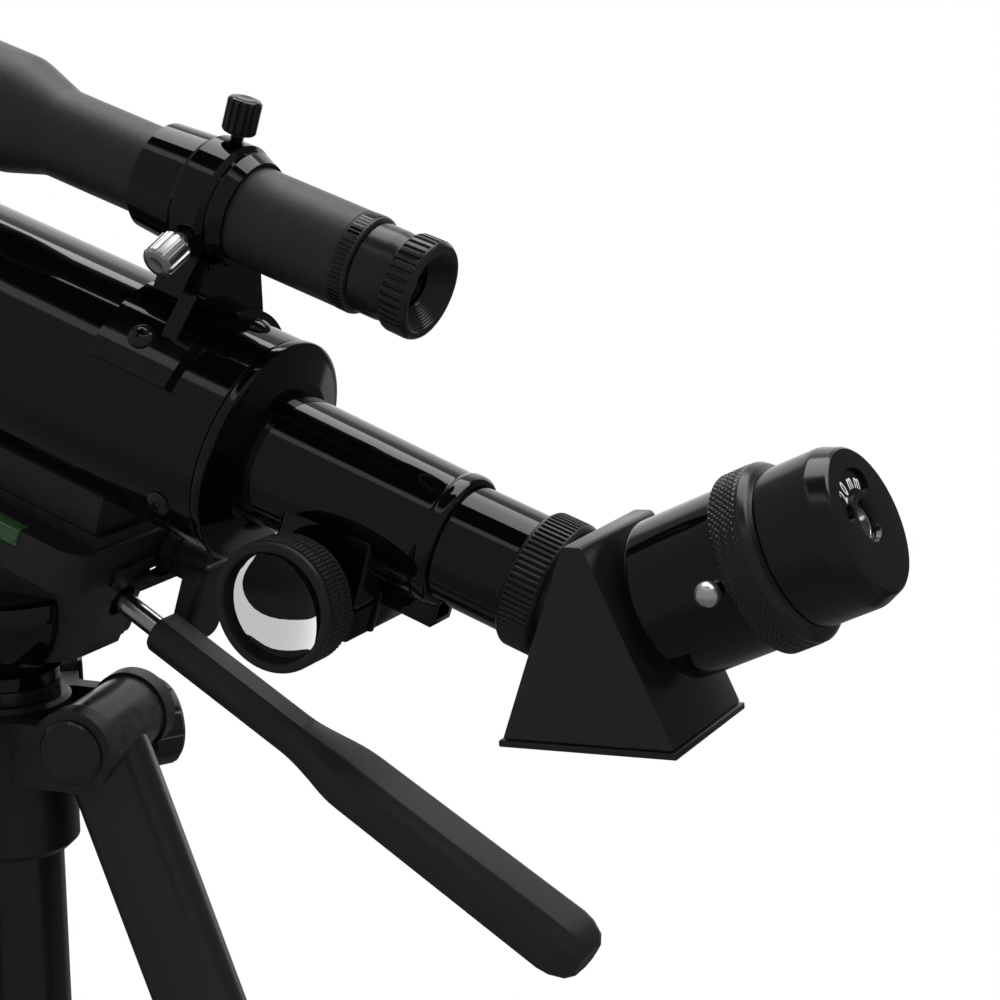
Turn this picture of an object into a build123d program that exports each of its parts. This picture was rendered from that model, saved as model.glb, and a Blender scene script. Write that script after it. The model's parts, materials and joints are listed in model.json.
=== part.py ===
"""Small refracting telescope on a pan-and-tilt tripod, in millimetres, +Z up.

The origin lies on the floor under the pan axis; +X points to the eyepiece end.
Tube parts are drawn in a tube frame: x runs along the optical axis towards the
eyepiece, z points away from the tripod, and x = 0 is the front of the collar.
"""
from build123d import *
from math import atan2, cos, hypot, pi, radians, sin, tan
import os

# ---------------------------------------------------------------- clearances
RUN = 0.06            # radial running clearance of a shaft or slide
GAP = 0.3             # clear space between parts that move past each other
SEAT = 0.1            # radial clearance of a pushed-in part

# ---------------------------------------------------------------- placement
TUBE_TILT = 17.0      # degrees the tube points above level
COLLAR_X = 155.6      # front of the drawtube collar from the pan axis
COLLAR_RISE = 30.0    # the same point above the tilt axis
TILT_RISE = 18.4      # tilt axis above the foot of the pan bowl
HINGE_Z = 385.0       # leg hinges above the floor

# ---------------------------------------------------------------- main tube
TUBE_R = 28.0
TUBE_WALL = 1.2
TUBE_REAR = -77.0
TUBE_LEN = 209.0
CELL_RIM_R = 28.4     # rear cell rim
CELL_RIM_LEN = 3.2
CELL_SPIGOT_LEN = 16.0
CELL_DISH = 2.4       # how far the rear face rises to the focuser
SCREW_R = 3.3         # domed cross-head screws
SCREW_DOME = 1.7
SCREW_SHANK_R = 1.5
SCREW_SHANK_LEN = 4.0
CELL_SCREW_X = -86.4
CELL_SCREW_ANGLE = 117.5

# ---------------------------------------------------------------- front end
SHADE_R = TUBE_R + 4.0
SHADE_WALL = 1.4
SHADE_LEN = 62.0
SHADE_OVERLAP = 24.0  # length of the shade that lies over the tube
LENS_R = 25.0
LENS_EDGE = 3.0
LENS_BULGE = 1.3
CELL_LEN = 15.0
RETAINER_LEN = 4.0
RETAINER_WALL = 3.0

# ---------------------------------------------------------------- focuser
FOCUSER_FRONT_R = 16.9
FOCUSER_REAR_R = 15.9
FOCUSER_LIP_R = 16.3
FOCUSER_LIP = -18.9   # rear end of the outer focuser tube
FOCUSER_FRONT = -100.0
DRAWTUBE_R = 14.54
DRAWTUBE_WALL = 1.44
DRAWTUBE_LEN = 108.0
COLLAR_R = 16.6
COLLAR_EDGE_R = 15.95
COLLAR_LEN = 9.5
COLLAR_RIBS = 24
PINION_X = -46.0
PINION_Z = -20.3
GEAR_MODULE = 0.8
PINION_TEETH = 16
PINION_WIDTH = 4.6
RACK_WIDTH = 5.0
RACK_FRONT = -97.0
RACK_TEETH = 29
PINION_SHAFT_R = 2.5
CHANNEL_HALF_W = 4.8  # rack channel under the outer tube
CHANNEL_LOW = -21.0
CHANNEL_WALL = 1.6
HOUSING_LEN = 25.0
HOUSING_HALF_W = 16.0
HOUSING_BOTTOM = -29.0
KNOB_R = 15.7
KNOB_INNER_Y = 22.0
KNOB_THICK = 11.0
KNOB_DISH_R = 11.4
KNOB_DISH_DEPTH = 7.5
KNOB_BOSS_R = 6.0

# ---------------------------------------------------------------- diagonal
AXIS_CROSS = 24.3     # where the two optical axes meet
DEVIATION = 45.0
PRISM_BASE = 24.0     # housing base below the crossing, along the normal
PRISM_TOP = 21.4
PRISM_BASE_HALF = 21.3
PRISM_SHIFT = -1.8
PRISM_HALF_W = 19.07
PRISM_WALL = 2.2
BASE_COVER = 1.6
BASE_COVER_PROUD = 0.7
NOSE_R = 12.25
NOSE_WALL = 1.2
NOSE_LEN = 26.0
HOLDER_R = 18.9
HOLDER_BORE_R = 15.95
HOLDER_END = 45.0
RING_R = 21.0
RING_EDGE_R = 19.6
RING_START = 37.2
RING_END = 47.5
BALL_R = 2.9
BALL_T = 33.8
BALL_Y = -22.0
EYE_BARREL_R = 15.87
EYE_BARREL_WALL = 1.1
EYE_BARREL_LEN = 28.0
EYE_R = 18.4
EYE_TAPER_T = 60.5
EYE_END_T = 65.1
EYE_END_R = 16.7
EYE_HOLE_R = 4.0
EYE_HOLE_BEVEL = 1.6
WINDOW_R = 9.4        # curved recess for the focal length, about the eye hole
WINDOW_HALF_W = 2.4
WINDOW_DEPTH = 0.7
WINDOW_FROM = -36.0   # its ends, degrees from the top of the face towards the near side
WINDOW_TO = 56.0
WINDOW_STEPS = 24

# ---------------------------------------------------------------- finder
FINDER_Z = 53.7
FINDER_REAR = -43.3
FINDER_KNOB_R = 12.1
FINDER_KNOB_LEN = 7.2
FINDER_NECK_R = 10.9
FINDER_BARREL_R = 11.9
FINDER_BARREL_REAR = -60.0
FINDER_FRONT_R = 11.0
FINDER_STEP = -122.0
FINDER_BELL = -152.0
FINDER_BELL_R = 15.0
FINDER_FRONT = -190.0
FINDER_WALL = 1.3
FINDER_HOLE_R = 5.0
FINDER_CUP_R = 9.6    # mouth of the cone round the eye hole
FINDER_CUP_DEPTH = 4.5
RING_FRONT = -121.0
RING_REAR = -94.0
RING_BEAD_R = 15.3
FINDER_SCREW_X = -103.0
SADDLE_FRONT = -114.0
SADDLE_REAR = -91.0
SADDLE_THICK = 2.4
SADDLE_HALF_ANGLE = 60.0
NEAR_SCREW = (-103.6, 43.0)   # bracket screws: place along the tube, angle from its top
FAR_SCREW = (-99.5, -50.0)
RIB_REAR = -95.5      # cross rib of the bracket stem
RIB_THICK = 4.2
RIB_TOP_W = 20.0
RIB_BASE_W = 39.0
STEM_FRONT = -112.0
STEM_BASE_W = 17.0
STEM_TOP_W = 11.0
THUMB_R = 4.2
THUMB_LEN = 9.0
THUMB_STEM_R = 1.8

# ---------------------------------------------------------------- foot and head
FOOT_FRONT = -195.0
FOOT_REAR = -108.0
FOOT_HALF_W = 15.0
PLATFORM_TOP = -36.8
PLATFORM_THICK = 12.0
PLATFORM_FRONT = -193.0
PLATFORM_REAR = -105.0
PLATFORM_HALF_W = 25.0
PLATFORM_CORNER = 8.0
CAMERA_SCREW_R = 3.15
CAMERA_SCREW_HEAD_R = 8.0
VIAL_R = 3.2
VIAL_LEN = 16.0
VIAL_X = -131.0
FLIP_Y = 17.0         # side-tilt pivot, from the middle of the platform
FLIP_Z = -44.2
FLIP_PIN_R = 3.0
FLIP_LUG_R = 6.2
FLIP_LUG_LEN = 4.0
FLIP_NOTCH_X = -155.0 # middle of the front lug
FLIP_LEVER_LEN = 21.0
FLIP_LEVER_W = 15.0
FLANGE_THICK = 4.0
FLANGE_FRONT = -160.0
TONGUE_HALF_W = 7.5
TONGUE_FACE_UP = 11.4    # rear face above the handle
TONGUE_FACE_DOWN = 16.0  # and below it
TILT_UP_LIMIT = 15.0  # degrees the nose can rise from the pictured tilt
TILT_DISC_R = 13.6
TILT_PIN_R = 3.0
HANDLE_DROP = 28.0    # degrees the handle points below level
HANDLE_X = 38.5       # where the handle leaves the tongue
HANDLE_RISE = 8.1     # above the tilt axis
ROD_R = 2.9
ROD_SUNK = 14.0
ROD_SHOWN = 13.0
ROD_IN_GRIP = 40.0
GRIP_LEN = 137.0
GRIP_NECK_R = 5.7
GRIP_NECK_LEN = 45.0
GRIP_FLARE_LEN = 20.0
GRIP_END_W = 20.0
GRIP_END_T = 14.0
BOWL_R = 25.0
BOWL_RISE = 8.0       # bowl rim above the tilt axis
BOWL_FLOOR = 1.0      # bowl wall below the tongue's disc
PAN_NECK_R = 13.6
PAN_SPIGOT_R = 8.0
PAN_SPIGOT_LEN = 12.0
PAN_LOCK_AZIMUTH = 78.0
PAN_LOCK_DROP = 7.0   # below the tilt axis
PAN_LOCK_R = 8.5
PAN_LOCK_DIST = 27.0
PAN_LOCK_LEN = 11.0

# ---------------------------------------------------------------- tripod
COLUMN_R = 12.5
COLUMN_WALL = 1.5
COLUMN_BOTTOM_Z = 200.0
COLUMN_HEAD_R = 13.8
COLUMN_HEAD_LEN = 3.5
SHOULDER_RISE = 7.5   # top above the leg hinges
SHOULDER_DROP = 35.0
SHOULDER_R = 17.0
SHOULDER_RIM_R = 16.4
HINGE_RADIUS = 28.0
KNUCKLE_R = 10.3
KNUCKLE_HALF_W = 13.5
EAR_THICK = 5.0
EAR_R = 11.2
HINGE_PIN_R = 3.0
HINGE_CAP_R = 8.6
HINGE_CAP_THICK = 1.4
LEG_AZIMUTHS = (10.0, 130.0, 250.0)
LEG_SPLAY = 20.0
LEG_W = 24.0
LEG_T = 19.0
LEG_WALL = 1.3
LEG_CORNER = 3.0
LEG_SLIDE = 0.3
LOCK_LEN = 34.0
LOCK_LIP = 12.0       # lock collar beyond the end of the upper tube
LOCK_TO_BOOT = 3.0
LOCK_WALL = 2.4
LOWER_TOP = 60.0
LOWER_WALL = 1.1
BOOT_LEN = 31.3       # rubber boot above its ball centre
BOOT_R = 11.5
BOOT_WALL = 1.8
BOOT_CENTRE_Z = 7.0
LEVER_LEN = 27.0
LEVER_W = 15.0
LEVER_T = 3.4
LEVER_PIN_R = 1.6
LEVER_LUG = 2.4
LEVER_CAM_R = 2.6
LEVER_SIDE = 0.25     # lever to lug, each side
LEVER_PIN_OFF = 3.0   # pin centre from the collar's outer face
LEVER_PIN_UP = 5.0    # pin centre above the collar's lower end
COLUMN_KNOB_AZIMUTH = 62.0
COLUMN_KNOB_DROP = 9.5
COLUMN_KNOB_R = 12.0
COLUMN_KNOB_THICK = 10.0
COLUMN_KNOB_DIST = 36.0
COLUMN_BOSS_R = 7.0
COLUMN_BOSS_DIST = 30.0
LOCK_STEM_R = 3.0

SHOULDER_TOP_Z = HINGE_Z + SHOULDER_RISE
SHOULDER_LOW_Z = HINGE_Z - SHOULDER_DROP
COLUMN_KNOB_Z = HINGE_Z - COLUMN_KNOB_DROP
COLUMN_HEAD_Z = SHOULDER_TOP_Z + GAP
PAN_NECK_Z = COLUMN_HEAD_Z + COLUMN_HEAD_LEN + GAP
TILT_Z = PAN_NECK_Z + TILT_RISE
BOWL_TOP_Z = TILT_Z + BOWL_RISE
BOWL_LOW_Z = TILT_Z - TILT_DISC_R - BOWL_FLOOR
PAN_LOCK_Z = TILT_Z - PAN_LOCK_DROP
HANDLE_Z = TILT_Z + HANDLE_RISE
COLLAR_Z = TILT_Z + COLLAR_RISE

tilt = radians(TUBE_TILT)
TUBE_FRAME = Plane(origin=(COLLAR_X, 0, COLLAR_Z), x_dir=(cos(tilt), 0, -sin(tilt)),
                   z_dir=(sin(tilt), 0, cos(tilt)))
turn = radians(DEVIATION)
PRISM_TOP_HALF = PRISM_BASE_HALF - (PRISM_BASE + PRISM_TOP) * tan(turn / 2)
EYE_FRAME = Plane(origin=(AXIS_CROSS, 0, 0), x_dir=(cos(turn), 0, sin(turn)),
                  z_dir=(-sin(turn), 0, cos(turn)))
BISECTOR_FRAME = Plane(origin=(AXIS_CROSS, 0, 0), x_dir=(cos(turn / 2), 0, sin(turn / 2)),
                       z_dir=(-sin(turn / 2), 0, cos(turn / 2)))
FINDER_FRAME = Pos(0, 0, FINDER_Z)


# ---------------------------------------------------------------- helpers
def turned(*points):
    """Solid of revolution about local X from a closed outline of (x, radius) corners."""
    outline = Polyline(*[(x, 0, r) for x, r in points], close=True)
    return revolve(make_face(outline), Axis.X)


def sleeve(x0, x1, outer, inner):
    """Plain tube along local X."""
    return turned((x0, inner), (x1, inner), (x1, outer), (x0, outer))


def rod(x0, x1, radius):
    """Plain round bar along local X."""
    return turned((x0, 0), (x1, 0), (x1, radius), (x0, radius))


def block(x0, x1, y0, y1, z0, z1):
    """Box between two corners."""
    return Pos((x0 + x1) / 2, (y0 + y1) / 2, (z0 + z1) / 2) * Box(x1 - x0, y1 - y0, z1 - z0)


def slab(points, y0, y1):
    """Outline in the XZ plane, given thickness from y0 to y1."""
    face = make_face(Polyline(*[(x, y0, z) for x, z in points], close=True))
    return extrude(face, amount=y1 - y0, dir=(0, 1, 0))


def around_x(shape, angle):
    """Turn a shape drawn at the top of the tube by angle degrees towards -Y."""
    return Rot(angle, 0, 0) * shape


def domed_screw(shank):
    """Domed screw along Z, its seat at z = 0, with a plain shank below."""
    rise = SCREW_DOME
    ball = (SCREW_R ** 2 + rise ** 2) / (2 * rise)
    dome = Pos(0, 0, rise - ball) * Sphere(ball) & block(-9, 9, -9, 9, 0, 9)
    return dome + Pos(0, 0, -shank / 2) * Cylinder(SCREW_SHANK_R, shank)


def in_tube(shape):
    """Place a shape drawn in the tube frame."""
    return TUBE_FRAME.location * shape


def in_eye(shape):
    """Place a shape drawn along the eyepiece axis."""
    return in_tube(EYE_FRAME.location * shape)


def in_finder(shape):
    """Place a shape drawn along the finder axis."""
    return in_tube(FINDER_FRAME * shape)


def polar_z(azimuth):
    """Location whose local X points along the azimuth, at the pan axis."""
    return Rot(0, 0, azimuth)


PARTS = {}


def keep(name, shape):
    """Name one sub-part."""
    PARTS[name] = shape


# ---------------------------------------------------------------- optical tube
TUBE_FRONT = TUBE_REAR - TUBE_LEN
TUBE_BORE_R = TUBE_R - TUBE_WALL


def screw_hole(x, angle, radius):
    """Radial hole through the tube wall for one screw."""
    hole = Pos(x, 0, TUBE_R) * Cylinder(radius, 24)
    return around_x(hole, angle)


def main_tube():
    tube = sleeve(TUBE_FRONT, TUBE_REAR, TUBE_R, TUBE_BORE_R)
    for step in range(3):
        tube -= screw_hole(CELL_SCREW_X, CELL_SCREW_ANGLE + 120 * step, SCREW_SHANK_R + SEAT)
    for x, angle in (NEAR_SCREW, FAR_SCREW):
        tube -= screw_hole(x, angle, SCREW_SHANK_R + SEAT)
    return tube


def rear_cell():
    spigot_r = TUBE_BORE_R - SEAT
    bore = FOCUSER_FRONT_R + SEAT
    front = TUBE_REAR - CELL_SPIGOT_LEN
    rim = TUBE_REAR + CELL_RIM_LEN
    body = turned((front, bore), (rim + CELL_DISH, bore), (rim + CELL_DISH, bore + 2.5),
                  (rim, CELL_RIM_R - 1.6), (rim - 0.8, CELL_RIM_R), (TUBE_REAR, CELL_RIM_R),
                  (TUBE_REAR, spigot_r), (front, spigot_r))
    hollow = sleeve(front - 1, TUBE_REAR - 2.5, spigot_r - 4.2, bore + 2.6)
    body -= hollow
    for step in range(3):
        body -= screw_hole(CELL_SCREW_X, CELL_SCREW_ANGLE + 120 * step, SCREW_SHANK_R)
    return body


def tube_screws():
    saddle_top = TUBE_R + SADDLE_THICK
    screws = [around_x(Pos(CELL_SCREW_X, 0, TUBE_R) * domed_screw(SCREW_SHANK_LEN),
                       CELL_SCREW_ANGLE + 120 * step) for step in range(3)]
    for x, angle in (NEAR_SCREW, FAR_SCREW):
        placed = Pos(x, 0, saddle_top) * domed_screw(SADDLE_THICK + SCREW_SHANK_LEN)
        screws.append(around_x(placed, angle))
    return Compound(screws)


SHADE_BORE_R = SHADE_R - SHADE_WALL
SHADE_REAR = TUBE_FRONT + SHADE_OVERLAP
SHADE_FRONT = SHADE_REAR - SHADE_LEN
CELL_BODY_R = SHADE_BORE_R - SEAT


def dew_shield():
    lip = 0.8
    neck = TUBE_R + SEAT
    return turned((SHADE_FRONT, SHADE_BORE_R), (SHADE_REAR - 4, SHADE_BORE_R), (SHADE_REAR - 4, neck),
                  (SHADE_REAR, neck), (SHADE_REAR, SHADE_R - lip), (SHADE_REAR - lip, SHADE_R),
                  (SHADE_FRONT + lip, SHADE_R), (SHADE_FRONT, SHADE_R - lip))


LENS_SEAT = TUBE_FRONT - 1.0


def objective_cell():
    """Cell pushed over the front of the tube, with an inner shelf for the lens."""
    shelf_r = LENS_R - 2.0
    front = TUBE_FRONT - CELL_LEN
    return turned((TUBE_FRONT + 10, TUBE_R + SEAT), (TUBE_FRONT, TUBE_R + SEAT), (TUBE_FRONT, shelf_r),
                  (LENS_SEAT, shelf_r), (LENS_SEAT, LENS_R + SEAT), (front, LENS_R + SEAT),
                  (front, CELL_BODY_R), (TUBE_FRONT + 10, CELL_BODY_R))


def sag(radius, edge_r, bulge):
    """Height of a spherical cap of the given bulge above its edge, at a radius."""
    ball = (edge_r ** 2 + bulge ** 2) / (2 * bulge)
    return (ball ** 2 - radius ** 2) ** 0.5 - (ball - bulge)


def lens(x0, thick, radius, front_bulge, rear_bulge=0):
    """Round lens: edge from x0 forward over thick, with a spherical cap on its faces."""
    front_x = x0 - thick
    arcs = [Line((x0 + rear_bulge, 0, 0), (front_x - front_bulge, 0, 0))]
    if front_bulge:
        arcs.append(ThreePointArc((front_x - front_bulge, 0, 0),
                                  (front_x - sag(radius / 2, radius, front_bulge), 0, radius / 2),
                                  (front_x, 0, radius)))
    else:
        arcs.append(Line((front_x, 0, 0), (front_x, 0, radius)))
    arcs.append(Line((front_x, 0, radius), (x0, 0, radius)))
    if rear_bulge:
        arcs.append(ThreePointArc((x0, 0, radius), (x0 + sag(radius / 2, radius, rear_bulge), 0, radius / 2),
                                  (x0 + rear_bulge, 0, 0)))
    else:
        arcs.append(Line((x0, 0, radius), (x0, 0, 0)))
    return revolve(make_face(Curve() + arcs), Axis.X)


def objective_doublet():
    flint = lens(LENS_SEAT, LENS_EDGE, LENS_R, 0)
    crown = lens(LENS_SEAT - LENS_EDGE - SEAT, LENS_EDGE, LENS_R, LENS_BULGE)
    return Compound([flint, crown])


def objective_retaining_ring():
    inner = LENS_R - RETAINER_WALL
    front_of_lens = LENS_SEAT - 2 * LENS_EDGE - SEAT - sag(inner, LENS_R, LENS_BULGE) - 0.02
    ring = sleeve(front_of_lens - RETAINER_LEN, front_of_lens, LENS_R, inner)
    for side in (-1, 1):
        ring -= Pos(front_of_lens - RETAINER_LEN, 0, side * (LENS_R - 1.5)) * Box(2.4, 2.2, 3.6)
    return ring


# ---------------------------------------------------------------- finder and bracket
def finder_screw_angle(index):
    return 120.0 * index


def bracket_stem():
    """Cross rib with sloping sides and a narrower block in front of it."""
    top = FINDER_Z - FINDER_BARREL_R
    foot = TUBE_R * 0.8
    rib_face = Polyline((RIB_REAR, RIB_BASE_W / 2, foot), (RIB_REAR, RIB_TOP_W / 2, top),
                        (RIB_REAR, -RIB_TOP_W / 2, top), (RIB_REAR, -RIB_BASE_W / 2, foot), close=True)
    stem = extrude(make_face(rib_face), amount=RIB_THICK, dir=(-1, 0, 0))
    length = RIB_REAR - RIB_THICK - STEM_FRONT
    middle = STEM_FRONT + (length + 1) / 2
    base = Plane((middle, 0, foot)) * Rectangle(length + 1, STEM_BASE_W)
    head = Plane((middle, 0, top)) * Rectangle(length + 1, STEM_TOP_W)
    stem += loft([base, head])
    return stem - rod(STEM_FRONT - 5, RIB_REAR + 5, TUBE_R + SADDLE_THICK / 2)


def finder_bracket():
    """Saddle on the tube, ribbed stem and a flared ring."""
    wedge_r = 4 * TUBE_R
    half = radians(SADDLE_HALF_ANGLE)
    wedge_face = Polyline((SADDLE_FRONT, 0, 0), (SADDLE_FRONT, wedge_r * sin(half), wedge_r * cos(half)),
                          (SADDLE_FRONT, -wedge_r * sin(half), wedge_r * cos(half)), close=True)
    wedge = extrude(make_face(wedge_face), amount=SADDLE_REAR - SADDLE_FRONT, dir=(1, 0, 0))
    across = Plane(origin=(SADDLE_FRONT, 0, 0), x_dir=(0, 1, 0), z_dir=(1, 0, 0))
    band = across * (Circle(TUBE_R + SADDLE_THICK) - Circle(TUBE_R))
    saddle = extrude(band, amount=SADDLE_REAR - SADDLE_FRONT, dir=(1, 0, 0)) & wedge
    bore = FINDER_BARREL_R + SEAT
    ring = turned((RING_FRONT, bore), (RING_REAR, bore), (RING_REAR, bore + 1.0), (RING_REAR - 3.2, 14.3),
                  (RING_REAR - 4.4, 14.0), (RING_REAR - 5.6, RING_BEAD_R),
                  (RING_REAR - 13.0, RING_BEAD_R), (RING_REAR - 14.5, 14.2), (RING_FRONT, 13.3))
    bracket = saddle + bracket_stem() + FINDER_FRAME * ring
    bracket -= FINDER_FRAME * rod(RING_FRONT - 1, RING_REAR + 1, bore)
    for index in range(3):
        hole = Pos(FINDER_SCREW_X, 0, 15) * Cylinder(THUMB_STEM_R, 12)
        bracket -= FINDER_FRAME * around_x(hole, finder_screw_angle(index))
    room_mid = RING_BEAD_R + 1.0 + THUMB_LEN / 2 + 3
    room = Pos(FINDER_SCREW_X, 0, room_mid) * Cylinder(THUMB_R + 0.8, THUMB_LEN + 6)
    for index in (1, 2):
        bracket -= FINDER_FRAME * around_x(room, finder_screw_angle(index))
    for x, angle in (NEAR_SCREW, FAR_SCREW):
        bracket -= screw_hole(x, angle, SCREW_SHANK_R + SEAT)
        bracket -= around_x(Pos(x, 0, TUBE_R + SADDLE_THICK + 3) * Cylinder(SCREW_R + GAP, 6), angle)
    return bracket


def finder_screw(index):
    """Thumbscrew through the ring; its tip rests on the finder barrel."""
    tip = FINDER_BARREL_R + 0.02
    seat = RING_BEAD_R + 1.6
    screw = Pos(0, 0, (tip + seat) / 2) * Cylinder(THUMB_STEM_R - RUN, seat - tip)
    head = Pos(0, 0, seat + THUMB_LEN / 2) * Cylinder(THUMB_R, THUMB_LEN)
    head = chamfer(head.edges().filter_by(GeomType.CIRCLE), 0.7)
    for step in range(12):
        place = Rot(0, 0, 30 * step) * Pos(THUMB_R + 0.25, 0, seat + THUMB_LEN / 2)
        groove = place * Cylinder(0.55, THUMB_LEN + 1)
        head -= groove
    return FINDER_FRAME * around_x(Pos(FINDER_SCREW_X, 0, 0) * (screw + head), finder_screw_angle(index))


EYE_TUBE_R = 9.0      # thread tube of the finder eyepiece
FINDER_THREAD_END = -74.0


def finder_tube():
    inner_rear = EYE_TUBE_R + RUN
    rear = FINDER_BARREL_REAR
    front_in = FINDER_FRONT_R - FINDER_WALL
    bell_in = FINDER_BELL_R - FINDER_WALL
    return turned((rear, inner_rear), (rear, FINDER_BARREL_R - 0.6), (rear - 0.6, FINDER_BARREL_R),
                  (RING_FRONT, FINDER_BARREL_R), (FINDER_STEP, FINDER_BARREL_R),
                   (FINDER_STEP, FINDER_FRONT_R),
                  (FINDER_BELL, FINDER_FRONT_R), (FINDER_BELL - 13, FINDER_BELL_R),
                  (FINDER_FRONT, FINDER_BELL_R), (FINDER_FRONT, bell_in), (FINDER_BELL - 13.6, bell_in),
                  (FINDER_BELL - 0.6, front_in), (FINDER_THREAD_END - 2, front_in),
                  (FINDER_THREAD_END - 2, inner_rear))


def finder_objective():
    bell_in = FINDER_BELL_R - FINDER_WALL - SEAT
    return lens(FINDER_FRONT + 12, 2.4, bell_in, 1.0, 0.8)


def finder_eyepiece():
    """Knob with its thread tube; the bore is the eye opening."""
    knob_front = FINDER_REAR - FINDER_KNOB_LEN
    shelf = FINDER_REAR - FINDER_CUP_DEPTH
    knob = turned((FINDER_THREAD_END, EYE_TUBE_R - 1.4), (shelf, EYE_TUBE_R - 1.4),
                  (shelf, FINDER_HOLE_R), (shelf + 0.8, FINDER_HOLE_R),
                  (FINDER_REAR, FINDER_CUP_R), (FINDER_REAR, FINDER_KNOB_R - 1.0),
                  (FINDER_REAR - 1.0, FINDER_KNOB_R), (knob_front, FINDER_KNOB_R - 0.3),
                  (knob_front, FINDER_KNOB_R - 1.6), (knob_front - 3.4, FINDER_NECK_R),
                  (FINDER_BARREL_REAR + GAP, FINDER_NECK_R), (FINDER_BARREL_REAR + GAP, EYE_TUBE_R),
                  (FINDER_THREAD_END, EYE_TUBE_R))
    for step in range(24):
        knob -= Rot(15 * step, 0, 0) * Pos(FINDER_REAR - 4.4, 0, FINDER_KNOB_R + 0.35) * Box(5.0, 0.8, 1.2)
    return knob


def finder_eye_lens():
    radius = EYE_TUBE_R - 1.4 - SEAT
    return lens(FINDER_REAR - FINDER_CUP_DEPTH - SEAT - 0.7, 2.2, radius, 0.8, 0.7)


# ---------------------------------------------------------------- focuser
PITCH_R = GEAR_MODULE * PINION_TEETH / 2
PITCH_LINE_Z = PINION_Z + PITCH_R
TOOTH_PITCH = pi * GEAR_MODULE
DRAWTUBE_REAR = COLLAR_LEN - 1.5
DRAWTUBE_FRONT = DRAWTUBE_REAR - DRAWTUBE_LEN
DRAWTUBE_BORE_R = DRAWTUBE_R - DRAWTUBE_WALL
TOOTH_FLANK = tan(radians(20))


def focuser_body():
    bore = DRAWTUBE_R + RUN
    seat_end = TUBE_REAR + CELL_RIM_LEN + CELL_DISH
    body = turned((FOCUSER_FRONT, bore), (FOCUSER_LIP, bore), (FOCUSER_LIP, FOCUSER_LIP_R - 0.5),
                  (FOCUSER_LIP - 0.5, FOCUSER_LIP_R), (FOCUSER_LIP - 3.5, FOCUSER_LIP_R),
                  (FOCUSER_LIP - 4.0, FOCUSER_REAR_R), (seat_end, FOCUSER_FRONT_R),
                  (FOCUSER_FRONT, FOCUSER_FRONT_R))
    half = HOUSING_LEN / 2
    lump = block(PINION_X - half, PINION_X + half, -HOUSING_HALF_W, HOUSING_HALF_W, PINION_Z, 0)
    lump = fillet(lump.edges().filter_by(Axis.Z), 3)
    body += lump & rod(PINION_X - half, PINION_X + half, 1.5 * HOUSING_HALF_W)
    body -= rod(FOCUSER_FRONT - 1, FOCUSER_LIP + 1, bore)
    keyway = PITCH_LINE_Z - GEAR_MODULE - GAP
    key_half = RACK_WIDTH / 2 + GAP
    body += block(PINION_X + half, FOCUSER_LIP, -CHANNEL_HALF_W, CHANNEL_HALF_W, CHANNEL_LOW, -bore)
    body -= block(PINION_X + half, FOCUSER_LIP + 1, -key_half, key_half, CHANNEL_LOW + CHANNEL_WALL, -10)
    body -= block(FOCUSER_FRONT - 1, FOCUSER_LIP + 1, -key_half, key_half, keyway, -10)
    body -= pinion_pocket()
    return body


def pinion_pocket():
    """Room round the pinion and its shaft, cut from both halves of the housing."""
    radius = PITCH_R + GEAR_MODULE + GAP
    wide = PINION_WIDTH + 2 * GAP
    pocket = Pos(PINION_X, 0, PINION_Z) * Rot(90, 0, 0) * Cylinder(radius, wide)
    bore = Pos(PINION_X, 0, PINION_Z) * Rot(90, 0, 0) * Cylinder(PINION_SHAFT_R + RUN, 60)
    return pocket + bore


def pinion_cover():
    half = HOUSING_LEN / 2
    cover = block(PINION_X - half, PINION_X + half, -HOUSING_HALF_W, HOUSING_HALF_W,
                  HOUSING_BOTTOM, PINION_Z)
    cover = fillet(cover.edges().filter_by(Axis.Z), 3)
    low_edges = cover.edges().group_by(Axis.Z)[0]
    cover = fillet(low_edges, 2.5)
    return cover - pinion_pocket()


def drawtube():
    tube = sleeve(DRAWTUBE_FRONT, DRAWTUBE_REAR, DRAWTUBE_R, DRAWTUBE_BORE_R)
    rack_end = RACK_FRONT + RACK_TEETH * TOOTH_PITCH
    half = RACK_WIDTH / 2
    slot = block(RACK_FRONT, rack_end, -half, half, -DRAWTUBE_R - 1, -DRAWTUBE_BORE_R + 2)
    return tube - slot


def focus_rack():
    """Bar set in the drawtube floor, with straight-flanked teeth facing down."""
    length = RACK_TEETH * TOOTH_PITCH
    half = RACK_WIDTH / 2
    root = PITCH_LINE_Z + 1.15 * GEAR_MODULE
    top = -DRAWTUBE_BORE_R + 1.2
    x0 = RACK_FRONT
    shift = (PINION_X - x0) % TOOTH_PITCH
    outline = [(x0, top), (x0, root)]
    tip_half = TOOTH_PITCH / 4 - GEAR_MODULE * TOOTH_FLANK - 0.03
    root_half = TOOTH_PITCH / 4 + 1.15 * GEAR_MODULE * TOOTH_FLANK - 0.03
    tip = PITCH_LINE_Z - GEAR_MODULE
    first = x0 + shift + TOOTH_PITCH / 2 - TOOTH_PITCH * int((shift + TOOTH_PITCH / 2) / TOOTH_PITCH)
    count = 0
    while first + (count + 1) * TOOTH_PITCH < x0 + length:
        centre = first + count * TOOTH_PITCH
        if centre - root_half > x0:
            outline += [(centre - root_half, root), (centre - tip_half, tip),
                        (centre + tip_half, tip), (centre + root_half, root)]
        count += 1
    outline += [(x0 + length, root), (x0 + length, top)]
    return slab(outline, -half, half)


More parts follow.
